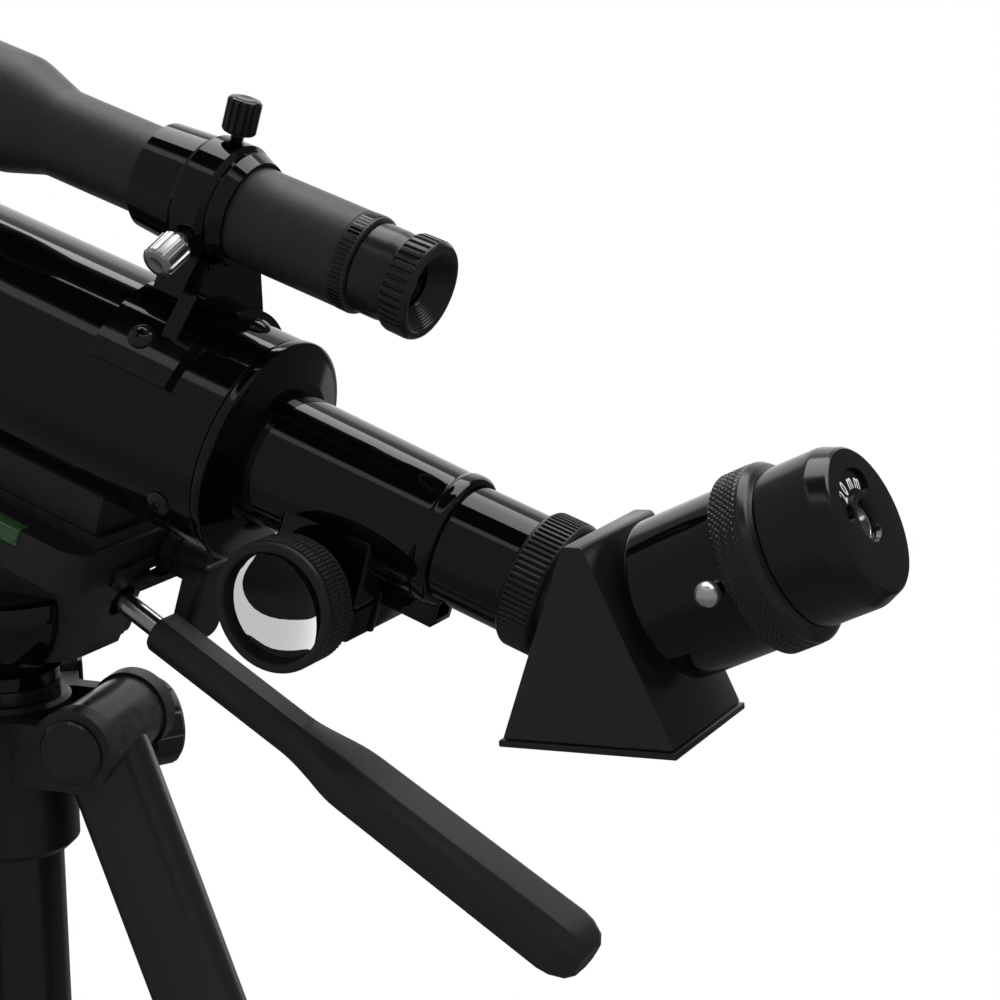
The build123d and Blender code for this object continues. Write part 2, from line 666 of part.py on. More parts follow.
def pinion_shaft():
    """Steel shaft through both knobs with the pinion cut in its middle."""
    root_r = PITCH_R - 1.15 * GEAR_MODULE
    tip_r = PITCH_R + GEAR_MODULE
    step = 360 / PINION_TEETH
    outline = []
    for tooth in range(PINION_TEETH):
        middle = 90 + tooth * step
        corners = [(root_r, -0.36), (PITCH_R, -0.235), (tip_r, -0.11),
                   (tip_r, 0.11), (PITCH_R, 0.235), (root_r, 0.36)]
        for radius, share in corners:
            angle = radians(middle + share * step)
            outline.append((radius * cos(angle), radius * sin(angle)))
    gear = slab(outline, -PINION_WIDTH / 2, PINION_WIDTH / 2)
    shaft = Rot(90, 0, 0) * Cylinder(PINION_SHAFT_R, 2 * (KNOB_INNER_Y + 2.0))
    return Pos(PINION_X, 0, PINION_Z) * (gear + shaft)


def focus_knob(side):
    """Dished knob; side is -1 for the near one and +1 for the far one."""
    bevel = 0.8
    outer = KNOB_INNER_Y + KNOB_THICK
    floor = outer - KNOB_DISH_DEPTH
    edges = [Line((HOUSING_HALF_W + GAP, 0, PINION_SHAFT_R + 0.02),
                  (KNOB_INNER_Y + 2.02, 0, PINION_SHAFT_R + 0.02)),
             Line((KNOB_INNER_Y + 2.02, 0, PINION_SHAFT_R + 0.02), (KNOB_INNER_Y + 2.02, 0, 0)),
             Line((KNOB_INNER_Y + 2.02, 0, 0), (floor, 0, 0)),
             ThreePointArc((floor, 0, 0), (floor + 0.3 * KNOB_DISH_DEPTH, 0, 0.7 * KNOB_DISH_R),
                           (outer - 1.2, 0, KNOB_DISH_R))]
    corners = [(outer - 1.2, KNOB_DISH_R), (outer - 0.6, KNOB_DISH_R + 0.5), (outer, KNOB_DISH_R + 1.3),
               (outer, KNOB_R - bevel), (outer - bevel, KNOB_R), (KNOB_INNER_Y + bevel, KNOB_R),
               (KNOB_INNER_Y, KNOB_R - bevel), (KNOB_INNER_Y, KNOB_BOSS_R),
               (HOUSING_HALF_W + GAP, KNOB_BOSS_R), (HOUSING_HALF_W + GAP, PINION_SHAFT_R + 0.02)]
    for start, end in zip(corners, corners[1:]):
        edges.append(Line((start[0], 0, start[1]), (end[0], 0, end[1])))
    knob = revolve(make_face(Curve() + edges), Axis.X)
    return Pos(PINION_X, 0, PINION_Z) * Rot(0, 0, 90 * side) * knob


def drawtube_collar():
    """Ribbed collar screwed on the rear of the drawtube."""
    ring = turned((0, DRAWTUBE_R + SEAT), (DRAWTUBE_REAR + 0.05, DRAWTUBE_R + SEAT),
                  (DRAWTUBE_REAR + 0.05, NOSE_R + RUN), (COLLAR_LEN, NOSE_R + RUN),
                   (COLLAR_LEN, COLLAR_EDGE_R),
                  (COLLAR_LEN - 0.9, COLLAR_R), (0.9, COLLAR_R), (0, COLLAR_EDGE_R))
    for step in range(COLLAR_RIBS):
        groove = Pos(COLLAR_LEN / 2, 0, COLLAR_R + 0.1) * Box(COLLAR_LEN - 2.4, 1.0, 0.9)
        ring -= Rot(step * 360 / COLLAR_RIBS, 0, 0) * groove
    return ring


# ---------------------------------------------------------------- diagonal and eyepiece
def prism_outline(inset):
    """Corners of the housing section in bisector coordinates, moved in by inset."""
    slope = hypot(PRISM_BASE + PRISM_TOP, PRISM_BASE_HALF - PRISM_TOP_HALF) / (PRISM_BASE + PRISM_TOP)
    rise = (PRISM_BASE_HALF - PRISM_TOP_HALF) / (PRISM_BASE + PRISM_TOP)
    low = -PRISM_BASE + inset
    high = PRISM_TOP - inset
    half_low = PRISM_BASE_HALF - inset * slope - inset * rise
    half_high = PRISM_TOP_HALF - inset * slope + inset * rise
    return [(PRISM_SHIFT - half_low, low), (PRISM_SHIFT + half_low, low),
            (PRISM_SHIFT + half_high, high), (PRISM_SHIFT - half_high, high)]


ENTRY_X = AXIS_CROSS + (PRISM_SHIFT - PRISM_BASE_HALF) * cos(turn / 2) + PRISM_BASE * sin(turn / 2)
EXIT_T = (PRISM_SHIFT + PRISM_BASE_HALF) * cos(turn / 2) - PRISM_BASE * sin(turn / 2)


def diagonal_housing():
    body = slab(prism_outline(0), -PRISM_HALF_W, PRISM_HALF_W)
    body = fillet(body.edges().filter_by(Axis.Y), 1.0)
    inner_w = PRISM_HALF_W - PRISM_WALL
    room = slab(prism_outline(PRISM_WALL), -inner_w, inner_w)
    front = PRISM_SHIFT - PRISM_BASE_HALF + 5
    rear = PRISM_SHIFT + PRISM_BASE_HALF - 5
    room += slab([(front, -PRISM_BASE - 1), (rear, -PRISM_BASE - 1),
                  (rear, -PRISM_BASE + 4), (front, -PRISM_BASE + 4)],
                 -inner_w, inner_w)
    housing = BISECTOR_FRAME.location * (body - room)
    housing -= rod(ENTRY_X - 4, ENTRY_X + 8, NOSE_R + SEAT)
    housing -= EYE_FRAME.location * rod(EXIT_T - 8, EXIT_T + 4, HOLDER_BORE_R)
    return housing


def diagonal_prism():
    """Roof prism as a solid glass wedge between the two openings."""
    inner_w = PRISM_HALF_W - PRISM_WALL - 1.0
    return BISECTOR_FRAME.location * slab(prism_outline(PRISM_WALL + GAP), -inner_w, inner_w)


def diagonal_base_cover():
    out = PRISM_BASE_HALF + BASE_COVER_PROUD
    plate = slab([(PRISM_SHIFT - out, -PRISM_BASE - BASE_COVER),
                  (PRISM_SHIFT + out, -PRISM_BASE - BASE_COVER),
                  (PRISM_SHIFT + out, -PRISM_BASE), (PRISM_SHIFT - out, -PRISM_BASE)],
                 -PRISM_HALF_W - BASE_COVER_PROUD, PRISM_HALF_W + BASE_COVER_PROUD)
    plate = chamfer(plate.edges().group_by(Axis.Z)[0], 0.5)
    return BISECTOR_FRAME.location * plate


def nosepiece():
    start = ENTRY_X - NOSE_LEN
    return turned((start, NOSE_R - NOSE_WALL), (ENTRY_X + PRISM_WALL - 0.1, NOSE_R - NOSE_WALL),
                  (ENTRY_X + PRISM_WALL - 0.1, NOSE_R), (start + 0.6, NOSE_R), (start, NOSE_R - 0.5))


def eyepiece_holder():
    tube = sleeve(EXIT_T, HOLDER_END, HOLDER_R, HOLDER_BORE_R)
    return tube - Pos(BALL_T, -HOLDER_R, 0) * Rot(90, 0, 0) * Cylinder(THUMB_STEM_R, 12)


def holder_collar():
    """Ring at the mouth of the holder; the eyepiece shoulder rests on it."""
    return turned((RING_START, HOLDER_R + SEAT), (HOLDER_END + 0.05, HOLDER_R + SEAT),
                  (HOLDER_END + 0.05, HOLDER_BORE_R), (RING_END, HOLDER_BORE_R),
                  (RING_END, RING_EDGE_R - 0.8),
                  (RING_END - 2.2, RING_R), (RING_START + 1.2, RING_R), (RING_START, RING_EDGE_R))


def holder_thumbscrew():
    ball = Pos(BALL_T, BALL_Y, 0) * Sphere(BALL_R)
    tip = -EYE_BARREL_R - 0.02
    stem = Pos(BALL_T, (BALL_Y + tip) / 2, 0) * Rot(90, 0, 0) * Cylinder(THUMB_STEM_R - RUN, tip - BALL_Y)
    bored = ball - rod(0, HOLDER_END + 5, HOLDER_R + RUN)
    return bored + stem


def eyepiece_barrel():
    rear = RING_END + 0.02
    front = rear - EYE_BARREL_LEN
    return turned((front, EYE_BARREL_R - EYE_BARREL_WALL), (rear + 4, EYE_BARREL_R - EYE_BARREL_WALL),
                  (rear + 4, EYE_BARREL_R), (front + 0.6, EYE_BARREL_R), (front, EYE_BARREL_R - 0.5))


def eyepiece_body():
    start = RING_END + 0.02
    bore = EYE_BARREL_R - EYE_BARREL_WALL - 2
    body = turned((start, EYE_BARREL_R + 0.02), (start + 4.02, EYE_BARREL_R + 0.02), (start + 4.02, bore),
                  (EYE_END_T - 6.0, bore), (EYE_END_T - 4.5, EYE_HOLE_R),
                  (EYE_END_T - EYE_HOLE_BEVEL, EYE_HOLE_R), (EYE_END_T, EYE_HOLE_R + EYE_HOLE_BEVEL),
                  (EYE_END_T, EYE_END_R - 0.5), (EYE_END_T - 0.6, EYE_END_R),
                  (EYE_TAPER_T, EYE_R), (start + 0.4, EYE_R), (start, EYE_R - 0.4))
    for step in range(WINDOW_STEPS + 1):
        angle = WINDOW_FROM + step * (WINDOW_TO - WINDOW_FROM) / WINDOW_STEPS
        seat = Pos(EYE_END_T, 0, WINDOW_R) * Rot(0, 90, 0) * Cylinder(WINDOW_HALF_W, 2 * WINDOW_DEPTH)
        body -= around_x(seat, angle)
    return body


def eyepiece_lenses():
    bore = EYE_BARREL_R - EYE_BARREL_WALL
    field = lens(RING_END - EYE_BARREL_LEN + 8, 2.4, bore - SEAT, 1.8)
    eye = lens(EYE_END_T - 7.4, 2.4, bore - 2 - SEAT, 1.4)
    return Compound([field, eye])


# ---------------------------------------------------------------- platform and tilt head
PLATFORM_LOW = PLATFORM_TOP - PLATFORM_THICK
CAMERA_SCREW_X = -176.0


def tube_foot():
    low_w = FOOT_HALF_W + 0.8
    foot = block(FOOT_FRONT, FOOT_REAR, -FOOT_HALF_W, FOOT_HALF_W, PLATFORM_TOP, -12)
    foot += block(FOOT_FRONT - 2, FOOT_REAR + 2, -low_w, low_w, PLATFORM_TOP, PLATFORM_TOP + 3)
    foot -= rod(FOOT_FRONT - 5, FOOT_REAR + 5, TUBE_R)
    keep_below = block(FOOT_FRONT - 5, FOOT_REAR + 5, -TUBE_R - 2, TUBE_R + 2, PLATFORM_TOP, -TUBE_R * 0.8)
    foot = foot & keep_below
    depth = -TUBE_R - 0.6 - PLATFORM_TOP
    thread = Pos(CAMERA_SCREW_X, 0, PLATFORM_TOP) * Cylinder(CAMERA_SCREW_R + RUN, 2 * depth)
    return foot - thread


def platform():
    middle = (PLATFORM_FRONT + PLATFORM_REAR) / 2
    outline = RectangleRounded(PLATFORM_REAR - PLATFORM_FRONT, 2 * PLATFORM_HALF_W, PLATFORM_CORNER)
    plate = Pos(middle, 0, PLATFORM_LOW) * extrude(outline, amount=PLATFORM_THICK)
    plate = fillet(plate.edges().group_by(Axis.Z)[0], 1.6)
    reach = FLIP_LUG_R + GAP
    notch = FLIP_LUG_LEN / 2 + GAP
    plate -= block(FLIP_NOTCH_X - notch, FLIP_NOTCH_X + notch, FLIP_Y - reach - 1.5, PLATFORM_HALF_W + 1,
                   PLATFORM_LOW - 1, PLATFORM_TOP + 1)
    plate -= Pos(0, FLIP_Y, FLIP_Z) * rod(FLANGE_FRONT, PLATFORM_REAR + 1, FLIP_PIN_R + RUN)
    plate -= Pos(CAMERA_SCREW_X, 0, (PLATFORM_LOW + PLATFORM_TOP) / 2) * Cylinder(CAMERA_SCREW_R + RUN, 40)
    plate -= vial_place() * rod(-VIAL_LEN / 2, VIAL_LEN / 2, VIAL_R)
    return plate


def vial_place():
    """Seat of the bubble vial: lying along the top near edge."""
    return Pos(VIAL_X, -PLATFORM_HALF_W + 2.2, PLATFORM_TOP - 2.4)


def bubble_level():
    vial = rod(-VIAL_LEN / 2, VIAL_LEN / 2, VIAL_R)
    return vial_place() * chamfer(vial.edges().filter_by(GeomType.CIRCLE), 0.5)


def camera_screw():
    shank = Pos(CAMERA_SCREW_X, 0, (PLATFORM_LOW - GAP - TUBE_R - 1.5) / 2)
    screw = shank * Cylinder(CAMERA_SCREW_R, -TUBE_R - 1.5 - (PLATFORM_LOW - GAP))
    knob_mid = PLATFORM_LOW - GAP - 3.5
    knob = Pos(CAMERA_SCREW_X, 0, knob_mid) * Cylinder(CAMERA_SCREW_HEAD_R, 7)
    for step in range(12):
        place = Pos(CAMERA_SCREW_X, 0, knob_mid) * Rot(0, 0, 30 * step) * Pos(CAMERA_SCREW_HEAD_R + 0.6, 0, 0)
        knob -= place * Cylinder(1.3, 8)
    return screw + knob


def side_tilt_lever():
    """Pin of the side tilt with its hanging lock lever."""
    back = PLATFORM_REAR + GAP + FLIP_LUG_LEN + 0.2
    pin = rod(FLIP_NOTCH_X - FLIP_LUG_LEN / 2 - 1, back, FLIP_PIN_R)
    hub = rod(back, back + 9, FLIP_LUG_R - 0.6)
    paddle = block(back + 5, back + 11, -FLIP_LEVER_W / 2, FLIP_LEVER_W / 2, -FLIP_LEVER_LEN, 2)
    paddle = fillet(paddle.edges().filter_by(Axis.X), 4.5)
    paddle = fillet(paddle.edges().group_by(Axis.X)[-1], 2.0)
    bridge = block(back, back + 9, -FLIP_LUG_R + 0.6, FLIP_LUG_R - 0.6, -4, 0)
    return Pos(0, FLIP_Y, FLIP_Z) * (pin + hub + bridge + paddle)


def tube_xz(world_x, world_z):
    """Tube-frame x and z of a point in the plane of symmetry."""
    dx = world_x - COLLAR_X
    dz = world_z - COLLAR_Z
    return dx * cos(tilt) - dz * sin(tilt), dx * sin(tilt) + dz * cos(tilt)


TILT_AT = tube_xz(0, TILT_Z)
HANDLE_AT = tube_xz(HANDLE_X, HANDLE_Z)
HANDLE_FRAME = Plane(origin=(HANDLE_X, 0, HANDLE_Z),
                     x_dir=(cos(radians(HANDLE_DROP)), 0, -sin(radians(HANDLE_DROP))),
                     z_dir=(sin(radians(HANDLE_DROP)), 0, cos(radians(HANDLE_DROP))))


def tongue_outline():
    """Side view of the tilting tongue with the flange under the platform."""
    top = PLATFORM_LOW - GAP
    back = PLATFORM_REAR + GAP
    drop = radians(HANDLE_DROP - TUBE_TILT)
    face_dir = (-sin(drop), -cos(drop))
    face_top = (HANDLE_AT[0] - TONGUE_FACE_UP * face_dir[0], HANDLE_AT[1] - TONGUE_FACE_UP * face_dir[1])
    face_low = (HANDLE_AT[0] + TONGUE_FACE_DOWN * face_dir[0], HANDLE_AT[1] + TONGUE_FACE_DOWN * face_dir[1])
    heel = (face_low[0] - 4.5, face_low[1] - 3.6)
    tx, tz = TILT_AT
    reach = hypot(heel[0] - tx, heel[1] - tz)
    low_angle = atan2(heel[1] - tz, heel[0] - tx) - acos_of(TILT_DISC_R / reach)
    tangent = (tx + TILT_DISC_R * cos(low_angle), tz + TILT_DISC_R * sin(low_angle))
    return [(back, top), (back, face_top[1]), face_top, face_low, heel, tangent, (tx, tz),
            (tx - TILT_DISC_R, tz), (tx - TILT_DISC_R, top - FLANGE_THICK),
            (FLANGE_FRONT, top - FLANGE_THICK), (FLANGE_FRONT, top)]


def tilt_body():
    """Tongue in the bowl, flange under the platform, lugs of the side tilt."""
    top = PLATFORM_LOW - GAP
    back = PLATFORM_REAR + GAP
    tx, tz = TILT_AT
    tongue = slab(tongue_outline(), -TONGUE_HALF_W, TONGUE_HALF_W)
    tongue += Pos(tx, 0, tz) * Rot(90, 0, 0) * Cylinder(TILT_DISC_R, 2 * TONGUE_HALF_W)
    for x0 in (back, FLIP_NOTCH_X - FLIP_LUG_LEN / 2):
        lug = Pos(0, FLIP_Y, FLIP_Z) * rod(x0, x0 + FLIP_LUG_LEN, FLIP_LUG_R)
        low = top - FLANGE_THICK
        if x0 == back:
            low = FLIP_Z - FLIP_LUG_R
        web = block(x0, x0 + FLIP_LUG_LEN, 0, FLIP_Y, low, max(low + 2, top))
        foot = block(x0, x0 + FLIP_LUG_LEN, FLIP_Y - FLIP_LUG_R, FLIP_Y, low, FLIP_Z)
        tongue += lug + web + foot
    tongue -= Pos(0, FLIP_Y, FLIP_Z) * rod(FLANGE_FRONT, back + FLIP_LUG_LEN + 1, FLIP_PIN_R + RUN)
    tongue -= Pos(tx, 0, tz) * Rot(90, 0, 0) * Cylinder(TILT_PIN_R + RUN, 3 * TONGUE_HALF_W)
    body = in_tube(tongue)
    socket = rod(-ROD_SUNK, 1, ROD_R + RUN) + rod(-2.2, 1, ROD_R + 1.8)
    return body - HANDLE_FRAME.location * socket


def acos_of(value):
    """Arc cosine from the arc tangent."""
    return atan2((1 - value * value) ** 0.5, value)


def tilt_axle():
    pin = Cylinder(TILT_PIN_R, 2 * (BOWL_R - 3.5))
    return Pos(0, 0, TILT_Z) * Rot(90, 0, 0) * pin


def pan_handle_rod():
    return HANDLE_FRAME.location * rod(-ROD_SUNK + 0.3, ROD_SHOWN + ROD_IN_GRIP, ROD_R)


def pan_handle_grip():
    """Round neck that flares into a flattened, ridged grip."""
    neck_end = ROD_SHOWN + GRIP_NECK_LEN
    flare_end = neck_end + GRIP_FLARE_LEN
    end = ROD_SHOWN + GRIP_LEN
    neck = turned((ROD_SHOWN, 0), (neck_end, 0), (neck_end, GRIP_NECK_R), (ROD_SHOWN + 1.2, GRIP_NECK_R),
                  (ROD_SHOWN, GRIP_NECK_R - 1.2))
    sections = [Plane(origin=(neck_end, 0, 0), z_dir=(1, 0, 0)) * Ellipse(GRIP_NECK_R, GRIP_NECK_R),
                Plane(origin=(flare_end, 0, 0), z_dir=(1, 0, 0))
                * Ellipse(GRIP_END_T / 2 - 0.5, GRIP_END_W / 2 - 0.5),
                Plane(origin=(end - 8, 0, 0), z_dir=(1, 0, 0)) * Ellipse(GRIP_END_T / 2, GRIP_END_W / 2),
                Plane(origin=(end, 0, 0), z_dir=(1, 0, 0)) * Ellipse(GRIP_END_T / 2 - 4, GRIP_END_W / 2 - 5)]
    flare = loft(sections[:2]) + loft(sections[1:3], ruled=True) + loft(sections[2:], ruled=True)
    grip = neck + flare
    grip -= rod(0, ROD_SHOWN + ROD_IN_GRIP, ROD_R + 0.02)
    return HANDLE_FRAME.location * grip


def pan_body():
    """Bowl with a slot for the tongue, on a neck with a pivot spigot."""
    edges = [Line((0, 0, PAN_NECK_Z), (PAN_NECK_R, 0, PAN_NECK_Z)),
             Line((PAN_NECK_R, 0, PAN_NECK_Z), (PAN_NECK_R, 0, BOWL_LOW_Z - 0.4)),
             ThreePointArc((PAN_NECK_R, 0, BOWL_LOW_Z - 0.4), (BOWL_R - 3.6, 0, BOWL_LOW_Z + 6.6),
                           (BOWL_R, 0, BOWL_TOP_Z - 5)),
             Line((BOWL_R, 0, BOWL_TOP_Z - 5), (BOWL_R, 0, BOWL_TOP_Z - 1)),
             Line((BOWL_R, 0, BOWL_TOP_Z - 1), (BOWL_R - 1, 0, BOWL_TOP_Z)),
             Line((BOWL_R - 1, 0, BOWL_TOP_Z), (0, 0, BOWL_TOP_Z)),
             Line((0, 0, BOWL_TOP_Z), (0, 0, PAN_NECK_Z))]
    bowl = revolve(make_face(Curve() + edges), Axis.Z)
    slot_w = TONGUE_HALF_W + GAP
    floor = TILT_Z - TILT_DISC_R - GAP
    bowl -= block(-BOWL_R - 1, BOWL_R + 1, -slot_w, slot_w, floor, BOWL_TOP_Z + 1)
    swung = in_tube(slab(tongue_outline(), -slot_w, slot_w))
    about_tilt = Pos(0, 0, TILT_Z) * Rot(0, TILT_UP_LIMIT + 1, 0) * Pos(0, 0, -TILT_Z - GAP)
    bowl -= about_tilt * swung
    bowl -= Pos(0, 0, TILT_Z) * Rot(90, 0, 0) * Cylinder(TILT_PIN_R, 2 * (BOWL_R - 3.5))
    bowl += Pos(0, 0, PAN_NECK_Z - PAN_SPIGOT_LEN / 2 + 0.5) * Cylinder(PAN_SPIGOT_R, PAN_SPIGOT_LEN + 1)
    bore = Pos(PAN_LOCK_DIST, 0, PAN_LOCK_Z) * rod(-16, 4, LOCK_STEM_R + RUN)
    return bowl - polar_z(PAN_LOCK_AZIMUTH) * bore


def lobed_knob(x0, thick, radius, lobes, cut_r):
    """Round knob along X with scalloped grips."""
    knob = turned((x0, 0), (x0 + thick, 0), (x0 + thick, radius - 1.2), (x0 + thick - 1.2, radius),
                  (x0 + 1.2, radius), (x0, radius - 1.2))
    for step in range(lobes):
        place = Rot(step * 360 / lobes, 0, 0) * Pos(x0 + thick / 2, 0, radius + 0.6 * cut_r)
        knob -= place * Rot(0, 90, 0) * Cylinder(cut_r, thick + 2)
    return knob


def pan_lock_knob():
    knob = lobed_knob(PAN_LOCK_DIST, PAN_LOCK_LEN, PAN_LOCK_R, 10, 1.4)
    knob += rod(PAN_LOCK_DIST - 13, PAN_LOCK_DIST + 1, LOCK_STEM_R)
    return polar_z(PAN_LOCK_AZIMUTH) * Pos(0, 0, PAN_LOCK_Z) * knob


# ---------------------------------------------------------------- tripod
def center_column():
    head_top = COLUMN_HEAD_Z + COLUMN_HEAD_LEN
    inner = COLUMN_R - COLUMN_WALL
    bore = PAN_SPIGOT_R + RUN
    plug = head_top - PAN_SPIGOT_LEN - 3
    column = Rot(0, -90, 0) * turned(
        (COLUMN_BOTTOM_Z, 0), (COLUMN_BOTTOM_Z + 4, 0), (COLUMN_BOTTOM_Z + 4, inner), (plug, inner),
        (plug, 0), (plug + 2, 0), (plug + 2, bore), (head_top, bore), (head_top, COLUMN_HEAD_R),
        (COLUMN_HEAD_Z, COLUMN_HEAD_R),
        (COLUMN_HEAD_Z, COLUMN_R), (COLUMN_BOTTOM_Z + 4, COLUMN_R), (COLUMN_BOTTOM_Z + 4, COLUMN_R + 1),
        (COLUMN_BOTTOM_Z + 1, COLUMN_R + 1), (COLUMN_BOTTOM_Z, COLUMN_R))
    for step in range(18):
        place = Rot(0, 0, 20 * step) * Pos(COLUMN_HEAD_R + 0.3, 0, COLUMN_HEAD_Z + COLUMN_HEAD_LEN / 2)
        column -= place * Box(1, 1.2, 8)
    return column


def hinge_place(azimuth):
    """Hinge centre of one leg: local X outward, local Y along the pin."""
    return polar_z(azimuth) * Pos(HINGE_RADIUS, 0, HINGE_Z)


def shoulder():
    core = Rot(0, -90, 0) * turned(
        (SHOULDER_LOW_Z, 0), (SHOULDER_TOP_Z, 0), (SHOULDER_TOP_Z, SHOULDER_RIM_R - 1),
        (SHOULDER_TOP_Z - 1, SHOULDER_RIM_R), (SHOULDER_TOP_Z - 4, SHOULDER_RIM_R),
        (SHOULDER_TOP_Z - 6, SHOULDER_R), (SHOULDER_LOW_Z + 2, SHOULDER_R),
        (SHOULDER_LOW_Z, SHOULDER_R - 2))
    for azimuth in LEG_AZIMUTHS:
        for side in (-1, 1):
            near = side * (KNUCKLE_HALF_W + GAP)
            far = side * (KNUCKLE_HALF_W + GAP + EAR_THICK)
            low, high = min(near, far), max(near, far)
            ear = Rot(90, 0, 0) * Cylinder(EAR_R, EAR_THICK)
            ear = Pos(0, (near + far) / 2, 0) * ear
            web = block(-HINGE_RADIUS + 6, 0, low, high, -EAR_R, 6)
            core += hinge_place(azimuth) * (ear + web)
    core += polar_z(COLUMN_KNOB_AZIMUTH) * Pos(0, 0, COLUMN_KNOB_Z) * rod(6, COLUMN_BOSS_DIST, COLUMN_BOSS_R)
    for azimuth in LEG_AZIMUTHS:
        core -= hinge_place(azimuth) * Rot(90, 0, 0) * Cylinder(HINGE_PIN_R, 60)
        room = KNUCKLE_R + GAP
        side = KNUCKLE_HALF_W + GAP
        core -= hinge_place(azimuth) * Rot(90, 0, 0) * Cylinder(room, 2 * side)
        for end in (-1, 1):
            cap_y = end * (side + EAR_THICK + 2)
            core -= hinge_place(azimuth) * Pos(0, cap_y, 0) * Rot(90, 0, 0) * Cylinder(HINGE_CAP_R + GAP, 4)
    core -= Pos(0, 0, (SHOULDER_LOW_Z + SHOULDER_TOP_Z) / 2) * Cylinder(COLUMN_R + RUN, 80)
    bore = rod(6, COLUMN_BOSS_DIST + 1, LOCK_STEM_R + RUN)
    core -= polar_z(COLUMN_KNOB_AZIMUTH) * Pos(0, 0, COLUMN_KNOB_Z) * bore
    return core


def leg_hinge_pins():
    """Three plain pins with broad flat caps on both ends."""
    half = KNUCKLE_HALF_W + GAP + EAR_THICK
    pin = Rot(0, 0, 90) * turned((-half - HINGE_CAP_THICK, 0), (half + HINGE_CAP_THICK, 0),
                                 (half + HINGE_CAP_THICK, HINGE_CAP_R - 0.6),
                                 (half + HINGE_CAP_THICK - 0.6, HINGE_CAP_R),
                                 (half, HINGE_CAP_R), (half, HINGE_PIN_R), (-half, HINGE_PIN_R),
                                 (-half, HINGE_CAP_R), (-half - HINGE_CAP_THICK + 0.6, HINGE_CAP_R),
                                 (-half - HINGE_CAP_THICK, HINGE_CAP_R - 0.6))
    return Compound([hinge_place(azimuth) * pin for azimuth in LEG_AZIMUTHS])


def column_lock_knob():
    knob = lobed_knob(COLUMN_KNOB_DIST, COLUMN_KNOB_THICK, COLUMN_KNOB_R, 12, 1.2)
    knob += rod(COLUMN_R + 0.05, COLUMN_KNOB_DIST + 1, LOCK_STEM_R)
    knob += rod(COLUMN_BOSS_DIST + GAP, COLUMN_KNOB_DIST + 1, COLUMN_BOSS_R - 1)
    return polar_z(COLUMN_KNOB_AZIMUTH) * Pos(0, 0, COLUMN_KNOB_Z) * knob


def leg_place(azimuth):
    """Leg frame: local X runs down the leg, local Z outward, local Y along the hinge pin."""
    return hinge_place(azimuth) * Rot(0, 90 - LEG_SPLAY, 0)


def leg_section(shrink):
    """D-shaped section in the YZ plane: flat inside, round outside."""
    half_w = LEG_W / 2 - shrink
    half_t = LEG_T / 2 - shrink
    shoulder_z = -half_t * 0.1
    edges = [Line((0, -half_w, shoulder_z), (0, -half_w, -half_t)),
             Line((0, -half_w, -half_t), (0, half_w, -half_t)),
             Line((0, half_w, -half_t), (0, half_w, shoulder_z)),
             ThreePointArc((0, half_w, shoulder_z), (0, 0, half_t), (0, -half_w, shoulder_z))]
    return make_face(Curve() + edges)


def leg_tube(x0, x1, shrink):
    """Length of D-shaped bar along local X with rounded inner corners."""
    bar = Pos(x0, 0, 0) * extrude(leg_section(shrink), amount=x1 - x0, dir=(1, 0, 0))
    corner = max(LEG_CORNER - shrink, 0.6)
    low = bar.edges().filter_by(Axis.X).group_by(Axis.Z)[0]
    return fillet(low, corner)


INNER_SHRINK = LEG_WALL + LEG_SLIDE
BOOT_CENTRE = (HINGE_Z - BOOT_CENTRE_Z) / cos(radians(LEG_SPLAY))
BOOT_START = BOOT_CENTRE - BOOT_LEN
LOWER_END = BOOT_CENTRE - BOOT_R
LOCK_END = BOOT_START - LOCK_TO_BOOT
LOCK_START = LOCK_END - LOCK_LEN
LEG_TUBE_LEN = LOCK_END - LOCK_LIP
LEVER_PIN_X = LOCK_END - LEVER_PIN_UP
LEVER_PIN_Z = LEG_T / 2 + LOCK_WALL + LEVER_PIN_OFF


def leg_upper(azimuth):
    knuckle = Rot(90, 0, 0) * Cylinder(KNUCKLE_R, 2 * KNUCKLE_HALF_W)
    tube = leg_tube(2, LEG_TUBE_LEN, 0)
    lock = leg_tube(LOCK_START, LOCK_END, -LOCK_WALL)
    lock = chamfer(lock.edges().group_by(Axis.X)[0], 0.8)
    leg = tube + lock + knuckle
    lug_y = LEVER_W / 2 + LEVER_SIDE
    for side in (-1, 1):
        y0, y1 = sorted((side * lug_y, side * (lug_y + LEVER_LUG)))
        lug = Pos(LEVER_PIN_X, (y0 + y1) / 2, LEVER_PIN_Z) * Rot(90, 0, 0) * Cylinder(3.6, LEVER_LUG)
        lug += block(LEVER_PIN_X - 3.6, LEVER_PIN_X + 3.6, y0, y1, 2, LEVER_PIN_Z)
        leg += lug
    bore_start = KNUCKLE_R + 12
    leg -= leg_tube(bore_start, LOCK_END + 1, LEG_WALL)
    leg -= Rot(90, 0, 0) * Cylinder(HINGE_PIN_R + RUN, 60)
    leg -= Pos(LEVER_PIN_X, 0, LEVER_PIN_Z) * Rot(90, 0, 0) * Cylinder(LEVER_PIN_R + RUN, 40)
    return leg_place(azimuth) * leg


def leg_lower(azimuth):
    tube = leg_tube(LOWER_TOP, LOWER_END, INNER_SHRINK)
    tube -= leg_tube(LOWER_TOP - 1, LOWER_END - 3 * LOWER_WALL, INNER_SHRINK + LOWER_WALL)
    return leg_place(azimuth) * tube


